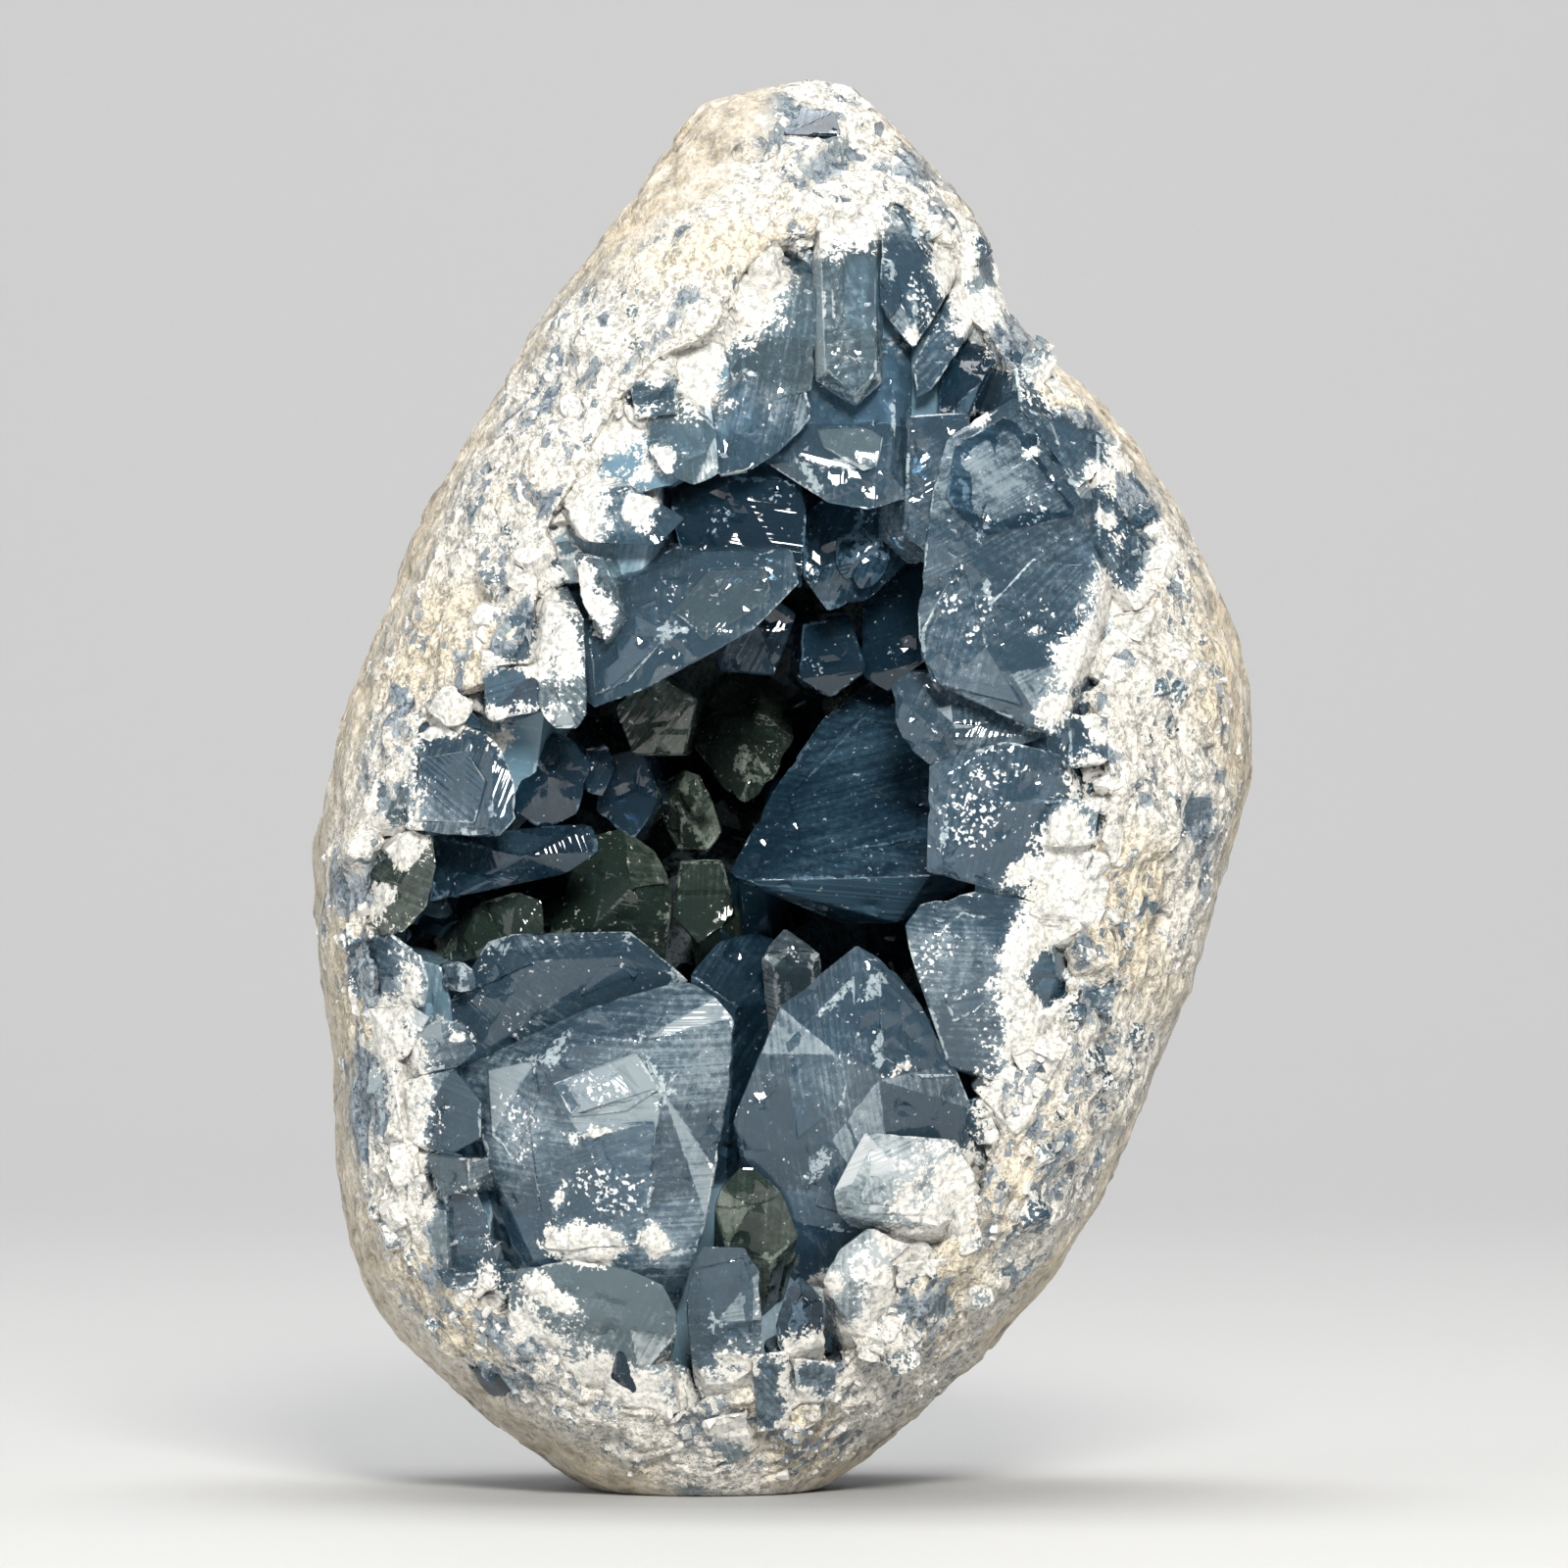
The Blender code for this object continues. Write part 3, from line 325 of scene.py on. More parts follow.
# What each vertex of a crystal tells its material; glitter and edge carry painted glints and painted
# highlights along the edges
NUMBERS = ("tone", "line", "crust", "haze", "etched", "glitter", "edge")

# The look of each large crystal; those not named are hazy
LOOKS = {
    "clear": ("hanging_prism", "hanging_neighbour", "upper_left_lip", "finger", "glint_nugget"),
    "deep": (
        "upper_right_dark", "plate_back", "dark_shelf", "left_dark_lump", "low_facets",
        "round_dark", "navy_crystal", "back_blue", "upper_dark", "floor_block",
    ),
    "frosted": ("pale_nugget", "bright_facet", "milky_boss", "low_right_lump"),
    "green": (
        "green_block", "greenish_back", "glint_crystal", "deep_green", "olive_crystal",
        "dome_crystal",
    ),
}

# Crystals too small or too thin for the solids: corners in front, and how far they reach back
FILLERS = {
    "floor_back": (
        "cloudy", 14,
        ((-30, 30, 8), (-32, 14, 6), (-8, 10, 6), (16, 20, 6), (22, 34, 8), (0, 34, 12)),
    ),
    "left_back": ("cloudy", 12, ((-44, 58, 5), (-36, 56, 8), (-30, 34, 8), (-32, 20, 6), (-42, 34, 4))),
    "right_back": (
        "cloudy", 12,
        ((24, 60, 6), (32, 62, 4), (36, 92, 3), (37, 104, 3), (30, 100, 6), (24, 44, 5)),
    ),
    "top_back": (
        "cloudy", 12,
        ((-4, 126, 5), (8, 134, 4), (20, 134, 4), (26, 120, 5), (14, 112, 9), (-2, 112, 8)),
    ),
    "left_low_back": (
        "cloudy", 12,
        ((-43, 80, 5), (-30, 86, 6), (-24, 90, 7), (-26, 76, 12), (-42, 60, 7)),
    ),
    "bank_back": (
        "cloudy", 10,
        ((-20, 114, 2.5), (-12, 121.5, 2.5), (-3, 127, 2.5), (-3, 112, 5), (-12, 106, 4), (-21, 104, 3)),
    ),
    "lump_back": (
        "cloudy", 12,
        ((-25, 111, 4), (-13, 109, 7), (-12.5, 100, 9), (-15, 96, 6), (-25, 96, 4)),
    ),
    "hollow_top": ("deep", 10, ((-9, 94, 30), (-4, 97, 30), (1.5, 93, 32), (-1, 86.5, 33), (-7, 87, 32))),
    "hollow_green": (
        "green", 9,
        ((-18, 83, 24), (-14, 87, 25), (-9, 84, 27), (-10.5, 78, 28), (-16, 78, 26)),
    ),
    "hollow_blue": (
        "deep", 9,
        ((-19, 78, 26), (-15, 79, 27), (-13, 73, 28), (-16, 69, 27), (-20, 72, 26)),
    ),
    "hollow_low": (
        "green", 8,
        ((-11, 67, 33), (-6.5, 67, 33), (-5, 61, 31), (-9, 58, 30), (-12, 61, 31)),
    ),
    "hollow_right": ("deep", 9, ((2, 92, 30), (7, 93, 29), (9, 87, 29), (5, 84, 31), (1.5, 86, 31))),
    "wedge_gap": (
        "hazy", 10,
        ((13, 113.5, 3.5), (19.6, 114, 3), (20, 106, 5), (16.5, 98, 8), (12.6, 101, 8)),
    ),
    "foot_gap": (
        "frosted", 7,
        ((-19, 13.8, 0.6), (-12, 14.6, 0.6), (-11, 9.4, 0.2), (-15, 8.0, 0.2), (-18.8, 10.2, 0.4)),
    ),
    "lip_drip": (
        "clear", 6,
        ((-22, 99, 0.6), (-18.6, 98.6, 0.8), (-16.6, 92.2, 1.4), (-18.6, 89.4, 1.4), (-20.6, 93, 0.8)),
    ),
    "right_edge": (
        "hazy", 8,
        ((33, 112, -0.2), (38.5, 106, -0.2), (41.8, 98, 0), (37, 93, 0.2), (33, 100, 0.4)),
    ),
    "right_upper": (
        "hazy", 8,
        ((24, 121.5, 0.2), (29.5, 117.5, -0.2), (35, 110, -0.2), (31, 106, 1), (25, 114, 1)),
    ),
    "shoulder": (
        "clear", 7,
        ((17.5, 136, 0), (21.6, 133.2, -0.2), (22.5, 125, 0), (24.5, 121, 0.2), (20, 124, 1)),
    ),
    "crown": ("deep", 6, ((-0.6, 147.2, 0.6), (5.6, 146.4, 0.2), (6.2, 143.4, 0), (0, 143.6, 0.1))),
    "left_foot": (
        "hazy", 8,
        ((-47.2, 46, 0.6), (-41, 46.5, 0), (-40, 38, -0.2), (-42.5, 33.5, -0.2), (-46.8, 36, 0.4)),
    ),
    "left_knob": (
        "clear", 6,
        ((-37.6, 36.4, -0.4), (-33, 36, -0.2), (-32.8, 32.6, -0.2), (-36, 31.8, -0.4)),
    ),
    "left_slab": (
        "frosted", 6,
        ((-37.8, 30.8, -0.4), (-35.4, 30.6, -0.2), (-35, 23.4, -0.2), (-37, 22.6, -0.4)),
    ),
    "foot_pale": ("frosted", 6, ((-8.4, 8.4, -0.2), (-4, 9.4, -0.3), (-3.4, 4.6, -0.2), (-7.2, 3.2, 0))),
    "foot_blue": ("hazy", 7, ((-3.4, 15.4, 0), (0.4, 15.8, -0.1), (0.6, 7.6, -0.1), (-2.8, 7.2, 0))),
    "foot_right": ("hazy", 7, ((1, 15, -0.2), (5.6, 14.6, -0.3), (5.4, 10.4, -0.2), (1.6, 10.2, -0.1))),
    "foot_left": ("deep", 6, ((-33, 13.6, 0), (-29.4, 14.6, -0.2), (-28.6, 11, -0.1), (-31.4, 10, 0.1))),
    "low_pale": (
        "frosted", 7,
        ((11.6, 25, -0.3), (17.6, 25.6, -0.3), (17, 19.2, -0.2), (12.6, 17.6, -0.2)),
    ),
    "right_inner": (
        "hazy", 8,
        ((29.5, 82.5, -0.1), (33.6, 81.5, -0.2), (34.2, 77.4, -0.2), (29.8, 76.6, 0.1)),
    ),
    "right_grey": ("hazy", 6, ((41.4, 73.6, 0), (45.2, 73.8, 0.3), (45, 69.6, 0.3), (41.8, 69, 0))),
    "right_window": ("hazy", 6, ((28.6, 73.6, 0), (33, 73.2, -0.2), (32.4, 69, -0.2), (28.4, 68.6, 0.2))),
    "left_window": (
        "deep", 8,
        ((-31.6, 87, 0.2), (-25.6, 87.4, 0.4), (-25.4, 82.4, 1), (-31, 81.8, 0.4)),
    ),
    "left_upper_window": (
        "hazy", 7,
        ((-30.4, 93, -0.2), (-26.4, 92.6, 0), (-26.6, 87.6, 0.2), (-30, 87.6, 0)),
    ),
    "bank_window": (
        "hazy", 6,
        ((-16.4, 117.6, -0.2), (-11.2, 117.4, -0.1), (-11, 113.6, 0.2), (-15.6, 113.2, 0)),
    ),
    "upper_window": (
        "hazy", 6,
        ((-13.2, 126.6, -0.2), (-9.4, 126.2, -0.2), (-9.2, 122, 0), (-12.4, 121.6, -0.1)),
    ),
}

# Growth steps and flat facets that stand a little proud of a large crystal's front:
# the crystal, the look, how far proud, and the outline as x and z
PLATES = (
    (
        "great_block", "etched", 0.40,
        ((-24.2, 43.8), (-15.3, 47.2), (-12.9, 43.4), (-16.3, 41.0), (-22.3, 40.4)),
    ),
    (
        "great_block", "hazy", 0.55,
        ((-26.6, 39.8), (-19.3, 38.6), (-13.4, 40.0), (-13.6, 33.0), (-15, 27.0), (-25, 26.4)),
    ),
    (
        "great_block", "hazy", 0.35,
        ((-31, 45.2), (-26, 46.4), (-25.4, 42.4), (-28.2, 35.6), (-30.6, 38.4)),
    ),
    (
        "pyramid", "hazy", 0.30,
        ((0.1, 48.4), (5.7, 53.2), (7.3, 55.2), (7.7, 48.4), (6.1, 41.6), (1.3, 38.0)),
    ),
    ("pyramid", "hazy", 0.45, ((9.7, 55.6), (15.3, 50.0), (18.0, 44.4), (13.7, 44.4), (10.1, 46.8))),
    ("pyramid", "hazy", 0.25, ((2.2, 37.6), (6.6, 40.6), (9.4, 34.0), (8.0, 29.6), (3.2, 31.0))),
    (
        "great_right", "hazy", 0.60,
        ((17.3, 96.4), (14.3, 91.2), (14.2, 88.4), (16.2, 85.2), (25, 83.0), (21, 89.5), (18.6, 97.6)),
    ),
    (
        "great_right", "hazy", 0.35,
        ((22.4, 88.6), (26.4, 84.0), (30.4, 90.0), (31.4, 98.0), (26.0, 98.6), (21.6, 94.0)),
    ),
    (
        "great_right", "deep", 0.30,
        ((17.8, 110.4), (23.0, 113.6), (29.4, 111.0), (30.6, 103.0), (20.6, 100.6), (16.8, 104.8)),
    ),
    (
        "great_plate", "hazy", 0.35,
        ((-20.6, 91.2), (-13.2, 94.4), (-12.4, 90.0), (-16.4, 85.4), (-19.6, 84.0)),
    ),
    (
        "great_plate", "clear", 0.30,
        ((-11.6, 93.0), (-8.0, 97.4), (-1.6, 97.6), (-1.2, 94.4), (-8.2, 89.8)),
    ),
    (
        "upper_block", "frosted", 0.30,
        ((3.4, 112.2), (8.6, 112.4), (10.4, 111.4), (9.8, 108.0), (8.4, 107.4), (4.0, 110.2)),
    ),
    ("hanging_prism", "clear", 0.30, ((4.8, 131.0), (6.4, 131.0), (6.2, 118.6), (5.2, 119.8))),
    (
        "left_block", "hazy", 0.35,
        ((-38.2, 77.7), (-33.0, 78.5), (-31.0, 75.3), (-32.2, 70.9), (-38.6, 71.2)),
    ),
    ("navy_crystal", "deep", 0.30, ((0.4, 73.6), (8.4, 82.2), (14.6, 79.8), (14.0, 69.0), (2.0, 67.4))),
    ("right_lower", "hazy", 0.30, ((14.4, 58.8), (18.4, 61.8), (24.6, 60.6), (25.6, 54.4), (17.6, 50.0))),
    ("upper_right_wedge", "hazy", 0.35, ((12.2, 126.4), (17.2, 130.0), (16.2, 125.2), (13.6, 121.8))),
    (
        "bottom_block", "hazy", 0.30,
        ((-9.0, 24.6), (-4.2, 25.8), (-3.0, 22.6), (-3.4, 16.4), (-8.8, 18.0)),
    ),
    (
        "bright_facet", "frosted", 0.35,
        ((5.8, 31.0), (9.0, 37.4), (14.6, 34.8), (14.8, 30.2), (9.0, 30.2)),
    ),
)
PLATE_DEPTH = 1.6
BACK_LEAN = 0.15

# Drawn patches, seen from the front: middle x and z, half width and height, lean in degrees
# White crust patches; the one at x -20.8, z 27.2, on the milky boss's top, is a painted highlight
CRUST_AND_HIGHLIGHT_PATCHES = (
    (-22.6, 89.0, 1.5, 4.4, 0), (-35.4, 81.0, 4.6, 1.2, -8), (-30.0, 79.4, 1.2, 1.0, -30),
    (-40.2, 68.0, 2.2, 1.5, 0), (-42.2, 62.5, 1.1, 2.2, 0), (-20.8, 27.2, 4.6, 2.4, 0),
    (-15.6, 11.4, 3.2, 2.2, 0), (-13.6, 27.4, 1.5, 1.9, 0), (-23.0, 31.6, 1.0, 1.8, 20),
    (-24.4, 21.8, 3.6, 1.9, 20), (-26.4, 17.2, 1.9, 3.4, 0), (-20.0, 13.4, 4.2, 1.4, -10),
    (26.0, 110.0, 0.7, 0.5, 0), (33.0, 107.5, 1.5, 1.2, 0), (33.6, 103.0, 1.4, 1.0, 30),
    (31.0, 94.0, 0.7, 0.6, 0), (26.0, 90.0, 0.9, 0.5, -20), (30.4, 87.0, 0.5, 1.5, 0),
    (27.4, 82.8, 2.6, 1.8, -35), (-4.4, 14.8, 2.6, 0.9, 25), (12.2, 45.6, 2.0, 0.9, -25),
    (18.6, 33.0, 2.6, 5.0, 15), (12.0, 27.6, 3.0, 1.6, 0), (7.6, 136.4, 2.6, 1.9, 0),
    (-4.0, 126.6, 3.6, 2.6, 40), (-8.6, 118.0, 2.4, 4.2, 10), (-13.4, 108.8, 3.2, 1.7, -25),
    (-14.8, 103.6, 2.2, 2.0, 0), (-19.8, 94.6, 1.3, 4.6, -14), (29.0, 61.8, 2.4, 2.4, 0),
    (25.6, 48.4, 2.4, 3.2, 0), (29.0, 70.0, 2.4, 3.4, 20), (26.0, 65.6, 3.6, 1.8, -15),
    (4.2, 22.8, 1.8, 1.4, 0), (9.6, 17.4, 2.2, 1.6, 30), (-37.8, 43.2, 1.2, 1.8, 0),
    (-34.0, 49.0, 1.6, 0.8, 20), (-19.6, 38.9, 3.4, 0.35, -9), (20.8, 113.2, 1.0, 0.6, 0),
    (13.4, 122.2, 1.1, 0.8, 0),
)
# Places with painted glints: white flecks that stand in for sparkling light
PAINTED_GLINT_PATCHES = (
    (-27.6, 39.4, 2.6, 4.2, -20), (5.5, 119.6, 0.7, 1.7, 0), (14.6, 125.4, 1.7, 3.4, -25),
    (15.4, 57.4, 1.9, 3.2, 25), (22.8, 57.0, 1.2, 1.0, 0), (25.2, 54.2, 1.4, 1.0, 20),
    (-20.2, 68.0, 0.8, 0.6, 0), (-22.6, 63.0, 0.5, 0.9, 10), (1.0, 57.4, 1.3, 1.3, 0),
    (18.2, 96.4, 0.7, 2.0, 15), (17.2, 94.2, 1.6, 2.2, 0), (20.2, 91.4, 0.5, 3.6, 16),
    (19.6, 71.6, 3.2, 4.6, 0), (-18.0, 33.0, 4.2, 3.4, 0), (8.4, 24.4, 2.2, 3.6, 0),
    (-41.2, 48.6, 2.4, 2.2, 0), (-13.0, 71.2, 0.9, 1.2, 0), (22.0, 76.0, 4.4, 1.2, -10),
    (2.4, 97.0, 1.4, 1.6, 0), (-6.6, 103.0, 1.2, 0.9, 0), (-7.4, 101.4, 0.5, 0.9, 0),
    (-18.8, 43.0, 3.0, 1.1, 15),
)
CREAM_PATCHES = (
    (-4, 133, 8, 6, -20), (-12, 126, 6, 7, 30), (-9.5, 119, 4, 6, 20), (-17, 112, 3, 5, 20),
    (-20, 8, 11, 4.5, -25), (12, 9, 8, 4, 30), (-24, 100, 4, 8, 15), (38, 64, 5, 10, -15),
    (41, 84, 5, 12, 8), (-34, 94, 4, 9, 22), (20, 20, 4, 5, 30), (-40, 26, 3, 7, -20),
)
BLUE_PATCHES = (
    (2.8, 145.3, 3.2, 1.6, 0), (0.2, 147.2, 2.0, 1.2, 0), (5.4, 140.6, 2.6, 1.8, -30),
    (14.2, 140.4, 2.6, 2.6, 0), (-11.2, 124.2, 2.0, 2.6, 20), (-13.7, 115.5, 2.8, 2.0, 0),
    (-18.1, 123.8, 1.2, 0.8, 0), (-22.3, 98.7, 1.5, 1.6, 0), (-26.5, 91.9, 1.8, 1.7, 0),
    (-16.5, 108.7, 2.0, 1.5, 0), (-38.0, 98.4, 1.0, 0.8, 0), (-36.8, 89.5, 1.3, 1.2, 0),
    (-28.2, 90.0, 2.0, 3.0, 0), (-28.6, 84.5, 3.8, 2.5, 0), (-40.8, 72.9, 1.8, 2.8, 0),
    (-46.6, 64.1, 2.0, 3.2, 0), (-43.0, 56.0, 4.0, 4.4, 0), (-44.6, 41.6, 3.4, 5.6, 0),
    (-35.2, 34.8, 2.6, 2.6, 0), (-36.6, 26.5, 1.3, 4.0, 0), (-31.0, 12.1, 2.2, 2.1, 0),
    (-26.8, 15.3, 1.5, 1.6, 0), (-1.5, 11.3, 2.1, 4.6, 0), (3.3, 12.9, 3.0, 2.0, 0),
    (14.9, 21.3, 3.4, 3.2, 0), (36.6, 99.0, 2.6, 4.0, 10), (31.0, 111.4, 5.6, 3.6, -40),
    (37.6, 104.6, 2.8, 4.6, 25), (40.4, 86.5, 1.1, 1.0, 0), (30.6, 80.1, 1.6, 1.9, 0),
    (33.3, 77.6, 2.8, 0.8, 0), (46.4, 75.4, 0.9, 1.7, 0), (43.6, 71.4, 2.0, 2.1, 0),
    (37.6, 72.6, 1.3, 0.9, 0), (31.0, 71.1, 2.4, 2.0, 0), (31.6, 52.8, 2.0, 3.0, 0),
    (21.4, 131.0, 1.8, 4.4, 15), (25.4, 121.6, 3.2, 4.0, -35), (-33.6, 104.2, 1.1, 1.6, 20),
    (-34.0, 28.0, 3.2, 7.0, -5), (-40.5, 64.0, 3.6, 5.0, 0), (27.5, 55.0, 2.0, 3.0, 0),
    (-40.6, 84.0, 1.0, 1.8, 0), (-24.6, 104.6, 1.8, 1.6, 0), (38.6, 61.4, 1.4, 1.8, 0),
)

# Where a patch starts and stops fading, as shares of its half width
PATCH_EDGE = (0.55, 1.25)

# Sums of noise: how much, grain size in millimetres, and a number that sets each noise apart
LAYERS = {
    "ragged_x": ((1.3, 3.4, 51.0), (0.5, 1.2, 57.0)),
    "ragged_z": ((1.3, 3.4, 54.0), (0.5, 1.2, 59.0)),
    "crust_edge": ((3.0, 5.0, 12.0), (1.6, 1.8, 15.0), (5.0, 17.0, 41.0)),
    "crust_depth": ((1.5, 3.0, 18.0),),
    "crust_grain": ((1.0, 1.1, 21.0), (1.0, 2.4, 24.0)),
    "skin_edge": ((2.5, 7.0, 3.0), (1.2, 2.2, 9.0)),
    "skin_lumps": ((1.0, 2.6, 4.0), (2.2, 8.0, 44.0)),
    "skin_pits": ((1.0, 3.4, 46.0), (0.4, 1.6, 48.0)),
    "lobes": ((1.0, 5.0, 61.0), (0.4, 2.0, 63.0)),
    "broad": ((1.0, 14.0, 35.0),),
    "rim_lumps": ((0.7, 4.2, 1.0),),
    "rim_ridges": ((0.6, 2.1, 2.0),),
    "streaks": ((1.0, 1.0, 2.0),),
    "windows": ((1.0, 2.6, 31.0), (0.5, 1.3, 33.0)),
}

# How noise is drawn out along the egg's outline for ridges, streaks and windows
EGG_WIDTH_TO_HEIGHT = 0.68
ROUND_SCALE = 24.0
BACK_SCALE = 45.0

# Ranges for numbers drawn at random
ANY_NOISE = (0, 90)
ANY_TURN = (0, 6)

# Crystal surfaces: the longest edge of their mesh, and how worn and stepped they are
CRYSTAL_EDGE = 1.07
CLOUDY_EDGE = 2.5
COARSER = 3.0
TURNED_AWAY = 0.35
SEEN_DEPTH = 0.55
REFINE_ROUNDS = 8
SAME_FACE_ANGLE = 0.02
ON_FACE = 0.02
NEAR_FACE = 0.4
BEVEL = 0.2
EDGE_REACH = 0.3
# How far the painted highlights along the edges reach, which edges get them, and where they break off
EDGE_FADE = 0.8
EDGE_COSINE = 0.93
EDGE_GAPS = 5.0
EDGE_GAP_RANGE = (-0.3, 0.3)
EDGE_WEAR = 0.03
ETCHED = 0.10
CHIP_REACH = 1.3
CHIP_DEPTH = 1.3
CHIP_SIZE = 2.1
CHIP_START = 0.25
STEPS = 5
STEP_WIDTH = (0.6, 5.0)
STEP_HEIGHT = (0.12, 0.45)
STEP_WOBBLE = 0.5
STEP_WOBBLE_SIZE = 3.0
WAVE = 0.1
WAVE_SIZE = 4.5
SHARP_ANGLE = math.radians(14)
ROOT_CLEARANCE = 2.2
CRUST_REACH = 4.0
CRUST_FADE = 2.5
CRUST_DEPTH = (3.0, 6.0)
CRUST_ROUGH = 0.35
CRUST_PROUD = 0.2
CRUST_SHELTER = 0.6
CRUSTED_FACE = -0.1

# How cloudy crystals are, and how large their veils, wisps and places with painted glints are
HAZE = 0.36
VEILS = 0.45
VEIL_SIZE = 10.0
WISPS = 0.26
WISP_SIZE = 1.3
WISP_STRETCH = (0.7, 0.7, 7.0)
PAINTED_GLINT = 0.6
PAINTED_GLINT_RANGE = (0.42, 0.60)
PAINTED_GLINT_SIZE = 5.5
PAINTED_GLINT_RAGGED = 0.35
PAINTED_GLINT_RAGGED_SIZE = 1.6
LINE_SIDE = (0.1, 1.0, 0.2)

# Parallel growth: smaller copies that stand a little proud of a large crystal's faces
TWINS = 2
TWIN_SHARE = (0.25, 0.45)
TWIN_PROUD = (0.1, 0.45)
TWIN_OFF_CENTRE = (0.1, 0.5)
LARGE_FACE_RATE = 0.8
FRONT_FACE = -0.15
SLANTED_FACE = -0.05
TWINLESS = ("upper_block", "great_plate", "hanging_prism")

# The rind's mesh, finer in front than behind, and its relief
RIND_SPLIT_Y = -9.0
RIND_OVERLAP = 1.2
HALF_REACH = 80
HALF_HEIGHTS = (-20, 180)
RIND_VOXELS = {"rind_front": 0.52, "rind_back": 1.0}
RIND_RELAX = {"rind_front": 22, "rind_back": 8}
RIND_SHARP_ANGLE = math.radians(35)
FACETS = 4.4
FACET_TILT = 0.5
FACET_LIMIT = 0.8
FACET_NEIGHBOURS = 4
FACET_SHARE = 0.4
LEAST_FACING = 0.35
GOLDEN_SHARE = 0.618
FACET_WINDOWS = 0.2
RIM_ROUGH = 0.6
STREAK_RIDGES = 0.7
RIM_SINK = 0.4
SKIN_FADE = (-2.0, 3.0)
SKIN_BEHIND_Y = 6.0
SKIN_ROUGH = 0.22
SKIN_STREAKS = 1.2
SKIN_PITS = 0.45
PIT_RANGE = (0.22, 0.5)
LOBES = 1.5
LOBE_RANGE = (-0.1, 0.5)
LOBE_START = (0.3, 2.0)
LOBE_END = (5.0, 9.0)
FOOT_FADE = 3.0
RELIEF_REACH = (0.6, 0.6)
RELIEF_TOP = 0.3
CAVITY_DEPTH = (4.0, 16.0)
CAVITY_FACING = 0.35
BLUE_WINDOWS = 0.9
CREAM_WINDOWS = 0.5

# A small crystal's leaning sides and end, how often an end is blunt, and thickness over width
SIDE_LEAN = math.radians(38)
CAP_LEAN = math.radians(48)
BLUNT_SHARE = 0.4
BLUNT_ENDS = 0.5
FLATNESS = 0.75
ALONG_Y = 0.2

# The druse of small crystals on the hollow's wall
DRUSE = 560
DRUSE_LENGTH = (3.0, 9.0)
DRUSE_WIDTH = (0.45, 0.8)
DRUSE_FLATNESS = 0.7
DRUSE_LEAN = 0.7
DRUSE_ROOT = 1.5
DRUSE_FORWARD = 0.1
DRUSE_LINES = (0, 20)
DRUSE_Y = (-30.0, 20.5, 12.0)
DRUSE_COVER = 2.0
# Behind this y the druse takes mostly the dark looks, a painted shade
DRUSE_SHADED_Y = -14
DRUSE_REACH = (0.96, 1.02)
DRUSE_BACK_Y = 15
DRUSE_HAZE = 0.6

# The grains on the broken rim, mostly small
GRAINS = 3000
GRAIN_SIZE = (0.5, 1.7)
GRAIN_SMALLNESS = 2.2
GRAIN_SINK = 0.3
GRAIN_WIDTH = (0.5, 0.95)
GRAIN_FLATNESS = (0.4, 0.8)
GRAIN_LAID_FLAT = 0.6
GRAIN_BLUNT_ENDS = 0.6
GRAIN_MOST_SKIN = 0.45
GRAIN_MOST_HOLLOW = 0.6
GRAIN_MOST_BARE = 0.3
GRAIN_BACK_Y = -6
GRAIN_LOWEST = 2
GRAIN_LOOKS = {"white_grain": 8, "blue_grain": 1, "grey_grain": 1}

# Crystals as large as a fingertip or less, sunk in the rim close to the mouth
RIM_CRYSTALS = 200
RIM_CRYSTAL_SIZE = (2.0, 7.0)
RIM_SMALLNESS = 1.8
RIM_CRYSTAL_SINK = 0.3
RIM_OUTWARD = 0.3
RIM_LEAN = 0.6
RIM_SKIN = 0.2
RIM_WIDTH = (0.5, 0.8)
RIM_BAND = 9.0
RIM_FACING = -0.55
RIM_LOWEST = 8
RIM_COVER = 0.42
RIM_COVER_ROUGH = 0.5
RIM_COVER_SIZE = 2.2
RIM_BARE = 0.4
RIM_CRYSTAL_EDGE = 1.0
RIM_LOOKS = {"hazy": 6, "clear": 2, "frosted": 2, "deep": 0.3}

# Crystals just inside the mouth's edge
FRINGE = 190
FRINGE_SIZE = (4.5, 10.0)
FRINGE_WIDTH = (0.5, 0.75)
FRINGE_DEPTH = (1.5, 9.0)
FRINGE_INSIDE = (-0.5, 3.5)
FRINGE_JITTER = 0.4
FRINGE_FORWARD = 0.5
FRINGE_LEAN = 0.5
FRINGE_ROOT = 0.6
FRINGE_LOOKS = {"hazy": 6, "clear": 3, "frosted": 1, "deep": 0.6}

PIECE_TRIANGLES = 180000

# Celestite's refraction
IOR = 1.62

# The camera: a long lens, straight in front, with this much of the scene across the picture
LENS = 300.0
SENSOR_WIDTH = 36.0
FRAME_WIDTH = 166.9
FRAME_MIDDLE_Z = 75.0

# The floor, in metres: flat, then curved up into a backdrop
FLOOR_HALF_WIDTH = 5.0
FLOOR_FRONT_Y = -3.0
FLOOR_ROWS = 4
BEND_START_Y = 0.9
BEND_RADIUS = 1.0
BEND_ROWS = 16
WALL_ROWS = 4
WALL_ROW_HEIGHT = 0.6


def half_depth(z):
    """Half the egg's depth at a height, before the front is flattened."""
    power, root = UPPER_TAPER
    share = np.clip((z - WIDEST_Z) / (HEIGHT + TOP_ROUNDING - WIDEST_Z), 0.0, 1.0)
    upper = WIDEST_HALF * (1 - share**power) ** root
    power, root = LOWER_TAPER
    share = np.clip((WIDEST_Z - z) / WIDEST_Z, 0.0, 1.0)
    flat = (FLAT_HALF_DEPTH / WIDEST_HALF) ** (1 / root)
    lower = WIDEST_HALF * (1 - (1 - flat) * share**power) ** root
    return np.where(z >= WIDEST_Z, upper, lower)


